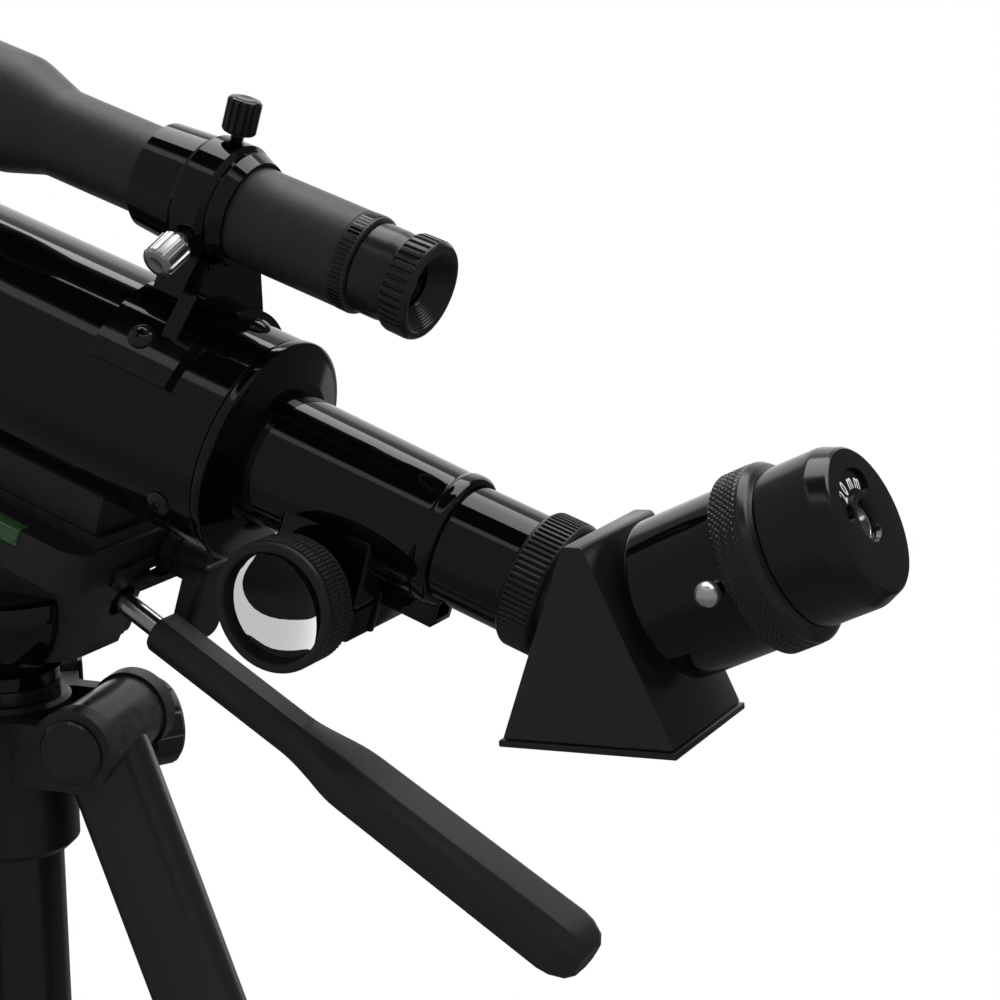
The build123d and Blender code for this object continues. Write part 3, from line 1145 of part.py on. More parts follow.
def leg_foot(azimuth):
    """Rubber boot with a ball end cut flat on the floor."""
    boot = leg_tube(BOOT_START, BOOT_CENTRE, INNER_SHRINK - BOOT_WALL)
    boot += Pos(BOOT_CENTRE, 0, 0) * Sphere(BOOT_R)
    boot -= leg_tube(BOOT_START - 1, LOWER_END, INNER_SHRINK)
    reach = 2 * BOOT_LEN
    under_floor = block(-reach, reach, -reach, reach, -BOOT_CENTRE_Z - reach, -BOOT_CENTRE_Z)
    boot -= Pos(BOOT_CENTRE, 0, 0) * Rot(0, LEG_SPLAY - 90, 0) * under_floor
    return leg_place(azimuth) * boot


def flip_lever(azimuth):
    """Over-centre lever lying on the lock collar."""
    rest = LEG_T / 2 + LOCK_WALL + GAP
    top = rest + LEVER_T
    tip = LEVER_PIN_X - LEVER_LEN
    plate = slab([(LEVER_PIN_X, LEVER_PIN_Z - LEVER_CAM_R), (tip, rest), (tip - 1.5, rest + 2.2),
                  (tip, top - 0.6), (LEVER_PIN_X, top)], -LEVER_W / 2, LEVER_W / 2)
    pin_at = Pos(LEVER_PIN_X, 0, LEVER_PIN_Z) * Rot(90, 0, 0)
    cam = pin_at * Cylinder(LEVER_CAM_R, LEVER_W)
    pin = pin_at * Cylinder(LEVER_PIN_R, LEVER_W + 2 * LEVER_SIDE + 2 * LEVER_LUG)
    return leg_place(azimuth) * (plate + cam + pin)


# ---------------------------------------------------------------- assembly
def build():
    in_tube_frame = {
        "main_tube": main_tube, "rear_cell": rear_cell, "tube_screws": tube_screws, "dew_shield": dew_shield,
        "objective_cell": objective_cell, "objective_doublet": objective_doublet,
        "objective_retaining_ring": objective_retaining_ring, "focuser_body": focuser_body,
        "pinion_cover": pinion_cover, "tube_foot": tube_foot, "finder_bracket": finder_bracket,
        "drawtube": drawtube, "focus_rack": focus_rack, "drawtube_collar": drawtube_collar,
        "pinion_shaft": pinion_shaft, "nosepiece": nosepiece, "diagonal_housing": diagonal_housing,
        "diagonal_prism": diagonal_prism, "diagonal_base_cover": diagonal_base_cover,
        "platform": platform, "bubble_level": bubble_level, "camera_screw": camera_screw,
        "side_tilt_lever": side_tilt_lever}
    for name, make in in_tube_frame.items():
        keep(name, in_tube(make()))
    keep("focus_knob_near", in_tube(focus_knob(-1)))
    keep("focus_knob_far", in_tube(focus_knob(1)))
    for index in range(3):
        keep(f"finder_screw_{index + 1}", in_tube(finder_screw(index)))
    for name, make in {"finder_tube": finder_tube, "finder_objective": finder_objective,
                       "finder_eyepiece": finder_eyepiece, "finder_eye_lens": finder_eye_lens}.items():
        keep(name, in_finder(make()))
    for name, make in {"eyepiece_holder": eyepiece_holder, "holder_collar": holder_collar,
                       "holder_thumbscrew": holder_thumbscrew, "eyepiece_barrel": eyepiece_barrel,
                       "eyepiece_body": eyepiece_body, "eyepiece_lenses": eyepiece_lenses}.items():
        keep(name, in_eye(make()))
    for name, make in {"tilt_body": tilt_body, "tilt_axle": tilt_axle, "pan_body": pan_body,
                       "pan_lock_knob": pan_lock_knob, "pan_handle_rod": pan_handle_rod,
                       "pan_handle_grip": pan_handle_grip, "center_column": center_column,
                       "column_lock_knob": column_lock_knob, "shoulder": shoulder,
                       "leg_hinge_pins": leg_hinge_pins}.items():
        keep(name, make())
    for number, azimuth in enumerate(LEG_AZIMUTHS, 1):
        keep(f"leg_upper_{number}", leg_upper(azimuth))
        keep(f"leg_lower_{number}", leg_lower(azimuth))
        keep(f"leg_foot_{number}", leg_foot(azimuth))
        keep(f"flip_lever_{number}", flip_lever(azimuth))


build()
os.makedirs("parts", exist_ok=True)
for name, shape in PARTS.items():
    export_step(shape, f"parts/{name}.step")
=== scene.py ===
"""Looks of a small refracting telescope with its finder, diagonal and pan-and-tilt tripod.

Lengths inside the making functions are millimetres in the local frame of the piece
they belong to, whose X runs along the piece or out of it. The places below turn them
into the shared frame, in metres. An outline lists corners as (along, across, round,
share): round is the size of the rounded corner, and share is how far a grip's
pattern applies there.
"""
import bmesh
import bpy
import json
from math import atan2, cos, pi, radians, sin
from mathutils import Euler, Matrix, Vector


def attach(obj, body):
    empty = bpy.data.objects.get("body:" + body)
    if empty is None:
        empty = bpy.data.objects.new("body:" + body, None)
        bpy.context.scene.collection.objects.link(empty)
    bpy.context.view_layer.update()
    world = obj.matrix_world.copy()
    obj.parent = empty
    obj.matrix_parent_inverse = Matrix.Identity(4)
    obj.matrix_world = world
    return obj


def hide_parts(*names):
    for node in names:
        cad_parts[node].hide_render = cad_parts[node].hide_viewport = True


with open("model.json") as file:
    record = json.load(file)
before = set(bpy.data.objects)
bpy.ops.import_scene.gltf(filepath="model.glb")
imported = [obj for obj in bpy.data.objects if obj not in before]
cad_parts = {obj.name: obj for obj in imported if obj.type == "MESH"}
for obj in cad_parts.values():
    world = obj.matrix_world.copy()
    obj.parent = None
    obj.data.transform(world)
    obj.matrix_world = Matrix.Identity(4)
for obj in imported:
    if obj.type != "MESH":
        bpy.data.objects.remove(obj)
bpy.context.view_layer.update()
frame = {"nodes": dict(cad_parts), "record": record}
nodes = frame["nodes"]
slots = {s["node"]: s["material_slot"] for s in frame["record"]["subparts"]}
MM = 0.001

# ------------------------------------------------------------------ places
TUBE_TILT = 17.0      # degrees the tube points above level
DEVIATION = 45.0      # degrees the diagonal turns the light by
HANDLE_DROP = 28.0    # degrees the handle points below level
COLLAR_AT = (155.6, 0, 445.0)    # local x = 0 of the tube, where the drawtube's collar starts
EYE_CROSSING = 24.3   # from there to the point where the eyepiece's axis crosses
FINDER_RISE = 53.7    # from the tube's axis to the finder's
HANDLE_ROOT = (38.5, 0, 423.1)   # where the handle's rod leaves the head


def place(origin, along, up):
    """Local frame in millimetres whose X runs along the piece and Z away from it."""
    x = Vector(along).normalized()
    z = Vector(up)
    z = (z - x * z.dot(x)).normalized()
    m = Matrix((x, z.cross(x), z)).transposed().to_4x4()
    m.translation = Vector(origin) * MM
    return m @ Matrix.Scale(MM, 4)


def down(angle):
    """X and Z directions of a frame turned down by angle degrees from level."""
    a = radians(angle)
    return (cos(a), 0, -sin(a)), (sin(a), 0, cos(a))


def shift(x=0.0, y=0.0, z=0.0):
    return Matrix.Translation((x, y, z))


def spin(angle, axis="X"):
    return Matrix.Rotation(radians(angle), 4, axis)


TUBE = place(COLLAR_AT, *down(TUBE_TILT))
EYE = TUBE @ shift(EYE_CROSSING) @ spin(-DEVIATION, "Y")
PRISM = TUBE @ shift(EYE_CROSSING) @ spin(-DEVIATION / 2, "Y")
FINDER = TUBE @ shift(z=FINDER_RISE)
HANDLE = place(HANDLE_ROOT, *down(HANDLE_DROP))


# ------------------------------------------------------------------ making pieces
SHARP = 32.0    # degrees between faces from which an edge stays sharp


def smooth(mesh, sharp):
    """Shade smoothly, but keep edges that turn by more than sharp degrees."""
    mesh.shade_smooth()
    mesh.set_sharp_from_angle(angle=radians(sharp))


def object_of(name, bm):
    """Object of the scene that takes over a bmesh."""
    mesh = bpy.data.meshes.new(name)
    bm.to_mesh(mesh)
    bm.free()
    obj = bpy.data.objects.new(name, mesh)
    bpy.context.scene.collection.objects.link(obj)
    return obj


def as_piece(name, body, look, bm, where, sharp=SHARP, replaced=(), slot=None):
    """Turn a bmesh in local millimetres into a piece that rides on a body."""
    bmesh.ops.recalc_face_normals(bm, faces=bm.faces)
    bm.transform(where)
    obj = object_of(name, bm)
    smooth(obj.data, sharp)
    obj.data.materials.append(look)
    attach(obj, body)
    if replaced:
        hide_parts(*replaced)
        slot = slot or slots[replaced[0]]
    return obj


def rounded(points, closed=True, steps=5):
    """Points (a, b, share) of an outline with its rounds drawn out as short curves."""
    most = 0.49    # of a side, so that the rounds at its two ends stay apart
    out = []
    n = len(points)
    for i, p in enumerate(points):
        here = Vector(p[:2])
        size = p[2] if len(p) > 2 else 0
        share = p[3] if len(p) > 3 else 0.0
        ends = closed or 0 < i < n - 1
        if not size or not ends:
            out.append((here.x, here.y, share))
            continue
        before = Vector(points[i - 1][:2]) - here
        after = Vector(points[(i + 1) % n][:2]) - here
        a = here + before.normalized() * min(size, before.length * most)
        b = here + after.normalized() * min(size, after.length * most)
        for k in range(steps + 1):
            t = k / steps
            q = a * (1 - t) ** 2 + here * 2 * t * (1 - t) + b * t ** 2
            out.append((q.x, q.y, share))
    return out


def lathe_mesh(points, seg=128, grip=None):
    """Closed outline turned about X, its surface lifted by grip(x, turn) times the share."""
    on_axis = 1e-5
    bm = bmesh.new()
    rings = []
    for x, r, share in rounded(points):
        if r < on_axis:
            rings.append([bm.verts.new((x, 0, 0))])
            continue
        ring = []
        for j in range(seg):
            a = 2 * pi * j / seg
            rr = r + (share * grip(x, a) if grip and share else 0.0)
            ring.append(bm.verts.new((x, rr * sin(a), rr * cos(a))))
        rings.append(ring)
    for here, there in zip(rings, rings[1:] + rings[:1]):
        if len(here) == 1 and len(there) == 1:
            continue
        for j in range(seg):
            k = (j + 1) % seg
            if len(here) == 1:
                bm.faces.new((here[0], there[j], there[k]))
            elif len(there) == 1:
                bm.faces.new((here[j], there[0], here[k]))
            else:
                bm.faces.new((here[j], there[j], there[k], here[k]))
    return bm


def lathe(name, body, look, where, points, replaced=(), seg=128, grip=None, slot=None):
    """Piece turned from an outline."""
    return as_piece(name, body, look, lathe_mesh(points, seg, grip), where, SHARP, replaced, slot)


def ribs(count, depth, land=0.5, soft=0.15):
    """Grip pattern of lengthwise grooves; land is the share between them, soft their flanks'."""
    def lift(x, turn):
        t = (turn * count / (2 * pi)) % 1.0
        if t < land:
            return 0.0
        u = (t - land) / (1 - land)
        edge = min(u, 1 - u)
        return -depth * min(1.0, edge / soft)
    return lift


def slab_mesh(outline, y0, y1, bevel=0.0, steps=3):
    """Outline in the XZ plane, thick from y0 to y1, with rolled rims."""
    rim_turn = radians(50)    # edges that turn by more are rims
    bm = bmesh.new()
    flat = rounded(outline)
    near = [bm.verts.new((x, y0, z)) for x, z, _ in flat]
    far = [bm.verts.new((x, y1, z)) for x, z, _ in flat]
    bm.faces.new(near)
    bm.faces.new(list(reversed(far)))
    n = len(flat)
    for i in range(n):
        k = (i + 1) % n
        bm.faces.new((near[i], far[i], far[k], near[k]))
    bmesh.ops.recalc_face_normals(bm, faces=bm.faces)
    if bevel:
        rims = [e for e in bm.edges if e.calc_face_angle(0) > rim_turn]
        bmesh.ops.bevel(bm, geom=rims, offset=bevel, segments=steps, profile=0.5,
                        affect="EDGES", clamp_overlap=True)
    return bm


def slab(name, body, look, where, outline, y0, y1, bevel=0.0, replaced=(), slot=None):
    """Piece cut from a plate with the outline."""
    return as_piece(name, body, look, slab_mesh(outline, y0, y1, bevel), where, SHARP, replaced, slot)


def skin(sections):
    """Closed surface through sections, each a list of as many (x, y, z) points."""
    bm = bmesh.new()
    rings = [[bm.verts.new(p) for p in s] for s in sections]
    n = len(rings[0])
    for a, b in zip(rings, rings[1:]):
        for j in range(n):
            k = (j + 1) % n
            bm.faces.new((a[j], b[j], b[k], a[k]))
    bm.faces.new(rings[0])
    bm.faces.new(list(reversed(rings[-1])))
    return bm


def carve(obj, tools):
    """Cut tools, given as bmesh and place pairs, out of the piece."""
    made = []
    for bm, where in tools:
        bmesh.ops.recalc_face_normals(bm, faces=bm.faces)
        bm.transform(where)
        tool = object_of("tool", bm)
        made.append(tool)
        step = obj.modifiers.new("cut", "BOOLEAN")
        step.operation = "DIFFERENCE"
        step.solver = "EXACT"
        step.object = tool
    bpy.context.view_layer.update()
    depsgraph = bpy.context.evaluated_depsgraph_get()
    result = bpy.data.meshes.new_from_object(obj.evaluated_get(depsgraph))
    obj.modifiers.clear()
    obj.data = result
    for tool in made:
        bpy.data.objects.remove(tool)
    smooth(obj.data, SHARP)


def bar_mesh(x0, x1, r, seg=32):
    """Round bar along X."""
    return lathe_mesh([(x0, 0), (x0, r), (x1, r), (x1, 0)], seg)


def box_mesh(x0, x1, y0, y1, z0, z1):
    return slab_mesh([(x0, z0), (x1, z0), (x1, z1), (x0, z1)], y0, y1)


# ------------------------------------------------------------------ finishes
def effect(name, inputs, outputs):
    """Empty node group with named inputs (name, default) and outputs (name, kind)."""
    tree = bpy.data.node_groups.new(name, "ShaderNodeTree")
    for label, value in inputs:
        socket = tree.interface.new_socket(label, in_out="INPUT", socket_type="NodeSocketFloat")
        socket.default_value = value
    for label, kind in outputs:
        tree.interface.new_socket(label, in_out="OUTPUT", socket_type="NodeSocket" + kind)
    return tree, tree.nodes.new("NodeGroupInput"), tree.nodes.new("NodeGroupOutput")


def maths(tree, operation, a, b=None):
    """Output of a Math node; a and b are numbers or sockets."""
    node = tree.nodes.new("ShaderNodeMath")
    node.operation = operation
    for slot_number, value in enumerate((a, b)):
        if isinstance(value, (int, float)):
            node.inputs[slot_number].default_value = value
        elif value is not None:
            tree.links.new(value, node.inputs[slot_number])
    return node.outputs[0]


def noise(tree, scale, detail, rough=0.5):
    """Noise over the piece; scale is a number or a socket."""
    place_of = tree.nodes.new("ShaderNodeTexCoord")
    node = tree.nodes.new("ShaderNodeTexNoise")
    node.inputs["Detail"].default_value = detail
    node.inputs["Roughness"].default_value = rough
    tree.links.new(place_of.outputs["Object"], node.inputs["Vector"])
    if isinstance(scale, (int, float)):
        node.inputs["Scale"].default_value = scale
    else:
        tree.links.new(scale, node.inputs["Scale"])
    return node.outputs["Fac"]


def handling_effect():
    """Roughness with finger smears and fine dust over a polished or matte base."""
    tree, given, out = effect("handling", [("Base", 0.1), ("Smear", 0.05), ("Dust", 0.03)],
                              [("Roughness", "Float")])
    smear = maths(tree, "MULTIPLY", noise(tree, scale=38.0, detail=3.0), given.outputs["Smear"])
    dust = maths(tree, "POWER", noise(tree, scale=900.0, detail=2.0), 3.0)
    dust = maths(tree, "MULTIPLY", dust, given.outputs["Dust"])
    total = maths(tree, "ADD", maths(tree, "ADD", given.outputs["Base"], smear), dust)
    tree.links.new(total, out.inputs["Roughness"])
    return tree


def grain_effect():
    """Height of a moulded or sprayed skin: coarse pebbles with fine pits."""
    tree, given, out = effect("grain", [("Scale", 2000.0), ("Pits", 0.4)], [("Height", "Float")])
    finer = 3.1    # times as fine as the pebbles
    coarse = noise(tree, given.outputs["Scale"], detail=3.0, rough=0.6)
    fine_scale = maths(tree, "MULTIPLY", given.outputs["Scale"], finer)
    fine = maths(tree, "MULTIPLY", noise(tree, fine_scale, detail=1.0), given.outputs["Pits"])
    tree.links.new(maths(tree, "ADD", coarse, fine), out.inputs["Height"])
    return tree


def sheen_and_wear_effect():
    """Mask of edges for a painted sheen that lightens them as if light caught them, broken up like rubbed
    wear so that only stretches of an edge show it.
    """
    tree, given, out = effect("edge_sheen_and_wear", [("Amount", 0.5)], [("Mask", "Float")])
    flat = 0.54       # pointiness up to which no edge gets the painted sheen and wear
    steepness = 9.0
    spared = 0.35     # share of the edges left without the painted sheen and wear
    shape = tree.nodes.new("ShaderNodeNewGeometry")
    edge = maths(tree, "SUBTRACT", shape.outputs["Pointiness"], flat)
    edge = maths(tree, "MULTIPLY", edge, steepness)
    patches = maths(tree, "SUBTRACT", noise(tree, scale=260.0, detail=4.0), spared)
    sheen_and_wear = maths(tree, "MULTIPLY", edge, patches)
    sheen_and_wear = maths(tree, "MULTIPLY", sheen_and_wear, given.outputs["Amount"])
    clamp = tree.nodes.new("ShaderNodeClamp")
    tree.links.new(sheen_and_wear, clamp.inputs["Value"])
    tree.links.new(clamp.outputs["Result"], out.inputs["Mask"])
    return tree


EFFECTS = {"handling": handling_effect(), "grain": grain_effect(), "edge_sheen_and_wear": sheen_and_wear_effect()}


def add_effect(m, name, **values):
    """Place a shared effect in a material with its own values."""
    node = m.node_tree.nodes.new("ShaderNodeGroup")
    node.node_tree = EFFECTS[name]
    for label, value in values.items():
        node.inputs[label].default_value = value
    return node


def new_material(name):
    """Empty material, its node tree and its surface shader."""
    m = bpy.data.materials.new(name)
    m.use_nodes = True
    return m, m.node_tree, m.node_tree.nodes["Principled BSDF"]


def mix_node(tree, kind):
    node = tree.nodes.new("ShaderNodeMix")
    node.data_type = kind
    return node


def finish_of(name, colour, rough, smear=0.04, dust=0.03, metal=0.0, grain=0.0, pits=0.4, depth=0.0,
              tone=0.12, sheen_and_wear=None, sheen_and_wear_amount=0.4, coat=0.0):
    """One finish: coloured body with tone changes, handling marks, grain and a painted edge sheen that is
    broken up like rubbed wear.

    Smear and dust add to the roughness, depth is the height of the grain in millimetres,
    tone how far the colour strays, and the edge colour is a painted highlight on the edges, broken up like
    rubbed wear.
    """
    m, tree, shader = new_material(name)
    shader.inputs["Metallic"].default_value = metal
    shader.inputs["Coat Weight"].default_value = coat
    shader.inputs["Coat Roughness"].default_value = 0.03
    marks = add_effect(m, "handling", Base=rough, Smear=smear, Dust=dust)
    tree.links.new(marks.outputs["Roughness"], shader.inputs["Roughness"])
    ramp = mix_node(tree, "RGBA")
    ramp.inputs["A"].default_value = (*[c * (1 - tone) for c in colour], 1)
    ramp.inputs["B"].default_value = (*[min(1, c * (1 + tone)) for c in colour], 1)
    tree.links.new(noise(tree, scale=55.0, detail=5.0, rough=0.6), ramp.inputs["Factor"])
    base = ramp.outputs["Result"]
    # Painted sheen: edges are lightened towards the given colour as if light caught them, in stretches that
    # also read as rubbed wear.
    if sheen_and_wear:
        sheen_and_wear_mask = add_effect(m, "edge_sheen_and_wear", Amount=sheen_and_wear_amount)
        over = mix_node(tree, "RGBA")
        over.inputs["B"].default_value = (*sheen_and_wear, 1)
        tree.links.new(base, over.inputs["A"])
        tree.links.new(sheen_and_wear_mask.outputs["Mask"], over.inputs["Factor"])
        base = over.outputs["Result"]
    tree.links.new(base, shader.inputs["Base Color"])
    if depth:
        pebbles = add_effect(m, "grain", Scale=grain, Pits=pits)
        bump = tree.nodes.new("ShaderNodeBump")
        bump.inputs["Strength"].default_value = 1.0
        bump.inputs["Distance"].default_value = depth * MM
        tree.links.new(pebbles.outputs["Height"], bump.inputs["Height"])
        tree.links.new(bump.outputs["Normal"], shader.inputs["Normal"])
    return m


def glass_of(name, colour):
    """Clear glass with a violet coating and faint finger marks."""
    m, tree, shader = new_material(name)
    shader.inputs["Base Color"].default_value = (*colour, 1)
    shader.inputs["Transmission Weight"].default_value = 1.0
    shader.inputs["IOR"].default_value = 1.5
    shader.inputs["Coat Weight"].default_value = 0.4
    shader.inputs["Coat Tint"].default_value = (0.75, 0.65, 1.0, 1)
    marks = add_effect(m, "handling", Base=0.0, Smear=0.01, Dust=0.01)
    tree.links.new(marks.outputs["Roughness"], shader.inputs["Roughness"])
    return m


# name, colour, roughness, smear and dust first
FINISH = {
    "polished black": finish_of("polished_black", (0.0014, 0.0014, 0.0016), 0.03, 0.03, 0.02,
                                grain=420, depth=0.004, sheen_and_wear=(0.03, 0.03, 0.03), sheen_and_wear_amount=0.3),
    "tube paint": finish_of("tube_paint", (0.0014, 0.0014, 0.0016), 0.04, 0.03, 0.03,
                            grain=500, depth=0.005),
    "moulded black": finish_of("moulded_black", (0.0065, 0.0065, 0.007), 0.34, 0.10, 0.05,
                               grain=2600, depth=0.02, sheen_and_wear=(0.04, 0.04, 0.04), sheen_and_wear_amount=0.5),
    "satin black": finish_of("satin_black", (0.008, 0.008, 0.0085), 0.20, 0.06, 0.04,
                             grain=1800, depth=0.006, sheen_and_wear=(0.05, 0.05, 0.05), sheen_and_wear_amount=0.3),
    "eyepiece black": finish_of("eyepiece_black", (0.004, 0.004, 0.0044), 0.13, 0.05, 0.03,
                                grain=1800, depth=0.003, sheen_and_wear=(0.05, 0.05, 0.05), sheen_and_wear_amount=0.3),
    "speckled black": finish_of("speckled_black", (0.013, 0.013, 0.0135), 0.26, 0.08, 0.05,
                                grain=3400, pits=1.0, depth=0.045, tone=0.5),
    "leg black": finish_of("leg_black", (0.012, 0.012, 0.0125), 0.20, 0.08, 0.05,
                           grain=1500, depth=0.004, sheen_and_wear=(0.2, 0.2, 0.2), sheen_and_wear_amount=0.3),
    "grip rubber": finish_of("grip_rubber", (0.010, 0.010, 0.0105), 0.40, 0.12, 0.06,
                             grain=3000, depth=0.03, tone=0.25),
    "chrome": finish_of("bright_chrome", (0.78, 0.78, 0.79), 0.03, 0.04, 0.03, metal=1.0,
                        grain=600, depth=0.001, tone=0.03),
    "ball chrome": finish_of("ball_chrome", (0.86, 0.86, 0.87), 0.26, 0.05, 0.03, metal=1.0,
                             grain=600, depth=0.001, tone=0.03),
    "dish": finish_of("dish_gloss", (0.0015, 0.0015, 0.0017), 0.01, 0.02, 0.01),
    "bright steel": finish_of("bright_steel", (0.55, 0.55, 0.56), 0.16, 0.08, 0.05, metal=1.0,
                              grain=1500, depth=0.003, tone=0.08),
    "silver knurl": finish_of("silver_knurl", (0.66, 0.66, 0.66), 0.2, 0.08, 0.05, metal=1.0,
                              grain=1500, depth=0.004, tone=0.08),
    "black screw": finish_of("black_screw", (0.006, 0.006, 0.0065), 0.10, 0.05, 0.04,
                             grain=1200, depth=0.006, sheen_and_wear=(0.10, 0.10, 0.10)),
    "lens glass": glass_of("lens_glass", (0.96, 0.98, 0.98)),
    "vial": finish_of("spirit_vial", (0.02, 0.055, 0.018), 0.05, 0.03, 0.02, coat=0.6, tone=0.25),
    "engraved white": finish_of("engraved_white", (0.75, 0.75, 0.74), 0.4, 0.1, 0.05, tone=0.05),
}


# ------------------------------------------------------------------ solids that keep their shape
dressed = set()


def dress(names, look, bevel=0.0):
    """Give solids of the frame their finish, smooth curved faces and a small round on their edges."""
    rim_turn = radians(38)
    for name in names:
        dressed.add(name)
        obj = nodes[name]
        obj.data.materials.clear()
        obj.data.materials.append(FINISH[look])
        smooth(obj.data, SHARP)
        if bevel:
            step = obj.modifiers.new("edges", "BEVEL")
            step.width = bevel * MM
            step.segments = 2
            step.limit_method = "ANGLE"
            step.angle_limit = rim_turn
            step.use_clamp_overlap = True
            step.harden_normals = False


# ------------------------------------------------------------------ optical tube
TUBE_R = 28.0
TUBE_BORE_R = 26.8
TUBE_REAR = -77.0
TUBE_FRONT = -286.0
CELL_FRONT = -93.0
CELL_REAR = -71.4
SHADE_R = 32.0
SHADE_BORE_R = 30.6
SHADE_FRONT = -324.0
SHADE_REAR = -262.0
SHADE_SEAT_R = 28.05
# screws: place along the tube, degrees from its top towards the near side
CELL_SCREW = (-86.4, 117.5)
BRACKET_SCREWS = ((-103.6, 43.0), (-99.5, -50.0))
SCREW_R = 3.3
SCREW_HIGH = 1.75


def cross_recess(where, depth, reach, width):
    """The two tapered arms of a cross recess, cut down local X from the top at x = 0."""
    above = 0.6
    foot = reach * 0.35
    arm = [(-depth, -foot), (above, -reach), (above, reach), (-depth, foot)]
    return [(slab_mesh(arm, -width / 2, width / 2), where @ spin(turn)) for turn in (0, 90)]


def cross_head_screw(name, where, replaced=()):
    """Domed screw head with a cross recess and a short shank; local X points out."""
    steps = 10
    turns = [pi / 2 * k / steps for k in range(steps, -1, -1)]
    dome = [(SCREW_HIGH * cos(a), SCREW_R * sin(a)) for a in turns]
    shank = [(-3.5, 0), (-3.5, 1.5), (-0.1, 1.5), (-0.1, 3.25, 0.1)]
    screw = lathe(name, "optical_tube", FINISH["black screw"], where, shank + dome, replaced,
                  seg=48, slot="black_steel")
    carve(screw, cross_recess(where @ shift(SCREW_HIGH), depth=1.4, reach=1.8, width=0.7))


def outward(x, angle, radius, base=TUBE):
    """Place on a tube at x, its local X out; angle from the top towards the near side."""
    return base @ spin(angle) @ shift(x, 0, radius) @ spin(-90, "Y")


def make_optical_tube():
    shell = [(TUBE_FRONT, TUBE_BORE_R), (TUBE_FRONT, TUBE_R, 0.4), (TUBE_REAR, TUBE_R, 0.35),
             (TUBE_REAR, TUBE_BORE_R)]
    lathe("tube_shell", "optical_tube", FINISH["tube paint"], TUBE, shell, ("main_tube",), seg=192)
    cell = [(CELL_FRONT, 17.0), (CELL_REAR, 17.0), (CELL_REAR, 19.2, 0.5), (-73.6, 26.2, 0.5),
            (-73.9, 27.6, 0.3), (-74.3, 28.4, 0.35), (-75.6, 28.4, 0.3), (-76.5, 28.3, 0.25),
            (-76.95, 27.7), (TUBE_REAR, 26.7), (CELL_FRONT, 26.7)]
    lathe("tube_end_cell", "optical_tube", FINISH["polished black"], TUBE, cell, ("rear_cell",), seg=192)
    shade = [(SHADE_FRONT, SHADE_BORE_R), (SHADE_FRONT, SHADE_R, 0.7), (SHADE_REAR, SHADE_R, 1.2),
             (SHADE_REAR, SHADE_SEAT_R, 0.3), (SHADE_REAR - 4, SHADE_SEAT_R), (SHADE_REAR - 4, SHADE_BORE_R)]
    lathe("dew_shade", "optical_tube", FINISH["satin black"], TUBE, shade, ("dew_shield",), seg=192)
    x, angle = CELL_SCREW
    for step in range(3):
        replaced = ("tube_screws",) if step == 0 else ()
        cross_head_screw(f"cell_screw_{step + 1}", outward(x, angle + 120 * step, TUBE_R), replaced)
    for step, (x, angle) in enumerate(BRACKET_SCREWS):
        cross_head_screw(f"bracket_screw_{step + 1}", outward(x, angle, TUBE_R + 2.4))


# ------------------------------------------------------------------ finder
FINDER_REAR = -43.3
FINDER_FRONT = -190.0
BARREL_R = 11.9
KNOB_NECK_R = 10.9
FINDER_SCREW_BODIES = ("finder_screw_top", "finder_screw_near", "finder_screw_far")


def make_finder():
    barrel = [(-76, 9.7), (-76, 9.06), (-60.0, 9.06), (-60.0, 11.2, 0.2), (-60.3, BARREL_R, 0.3),
              (-64.2, BARREL_R, 0.1), (-64.5, 11.7, 0.1), (-64.8, BARREL_R, 0.1),
              (-121.9, BARREL_R, 0.3), (-122.3, 11.0, 0.3), (-152, 11.0, 1.5), (-165, 15.0, 2.0),
              (FINDER_FRONT + 0.5, 15.0, 0.4), (FINDER_FRONT, 14.6), (FINDER_FRONT, 13.7),
              (-165.6, 13.7), (-152.6, 9.7)]
    lathe("finder_barrel", "optical_tube", FINISH["speckled black"], FINDER, barrel,
          ("finder_tube",), seg=144)
    count = 64
    ring = [(-64.1, 11.85), (-64.0, 12.0, 0.1, 1.0), (-61.0, 12.05, 0.1, 1.0), (-60.5, 11.8),
            (-60.5, 10.0), (-64.1, 10.0)]
    lathe("finder_rear_ring", "optical_tube", FINISH["polished black"], FINDER, ring,
          seg=count * 6, grip=ribs(count, depth=0.28, land=0.5, soft=0.3), slot="matte_black")
    make_finder_knob()
    dress(["finder_bracket"], "polished black", bevel=0.35)
    dress(["finder_objective", "finder_eye_lens"], "lens glass")


def make_finder_knob():
    """Ribbed eyepiece knob with a stepped cup round the eye lens and a neck into the barrel."""
    rim = [(FINDER_REAR - 7.2, 11.0), (FINDER_REAR - 7.2, 11.7, 0.2),
           (FINDER_REAR - 6.5, 12.0, 0.2, 1.0), (FINDER_REAR - 1.6, 12.1, 0.2, 1.0),
           (FINDER_REAR - 0.9, 11.9, 0.2), (FINDER_REAR, 11.2, 0.3), (FINDER_REAR, 10.0, 0.2)]
    cup = []
    for step in range(9):
        x = FINDER_REAR - (0.35 + step * 0.42)
        r = 9.7 - step * 0.5
        cup += [(x, r), (x, r - 0.22), (x - 0.2, r - 0.3)]
    floor = FINDER_REAR - 4.5
    neck = [(floor, 5.0), (floor, 7.6), (-74, 7.6), (-74, 9.0), (-59.7, 9.0),
            (-59.7, KNOB_NECK_R, 0.3), (FINDER_REAR - 10.6, KNOB_NECK_R, 0.5),
            (FINDER_REAR - 7.9, 10.4, 0.3)]
    count = 36
    lathe("finder_eyepiece_knob", "finder_focus", FINISH["satin black"], FINDER, rim + cup + neck,
          ("finder_eyepiece",), seg=count * 8, grip=ribs(count, depth=0.55, land=0.5, soft=0.25))


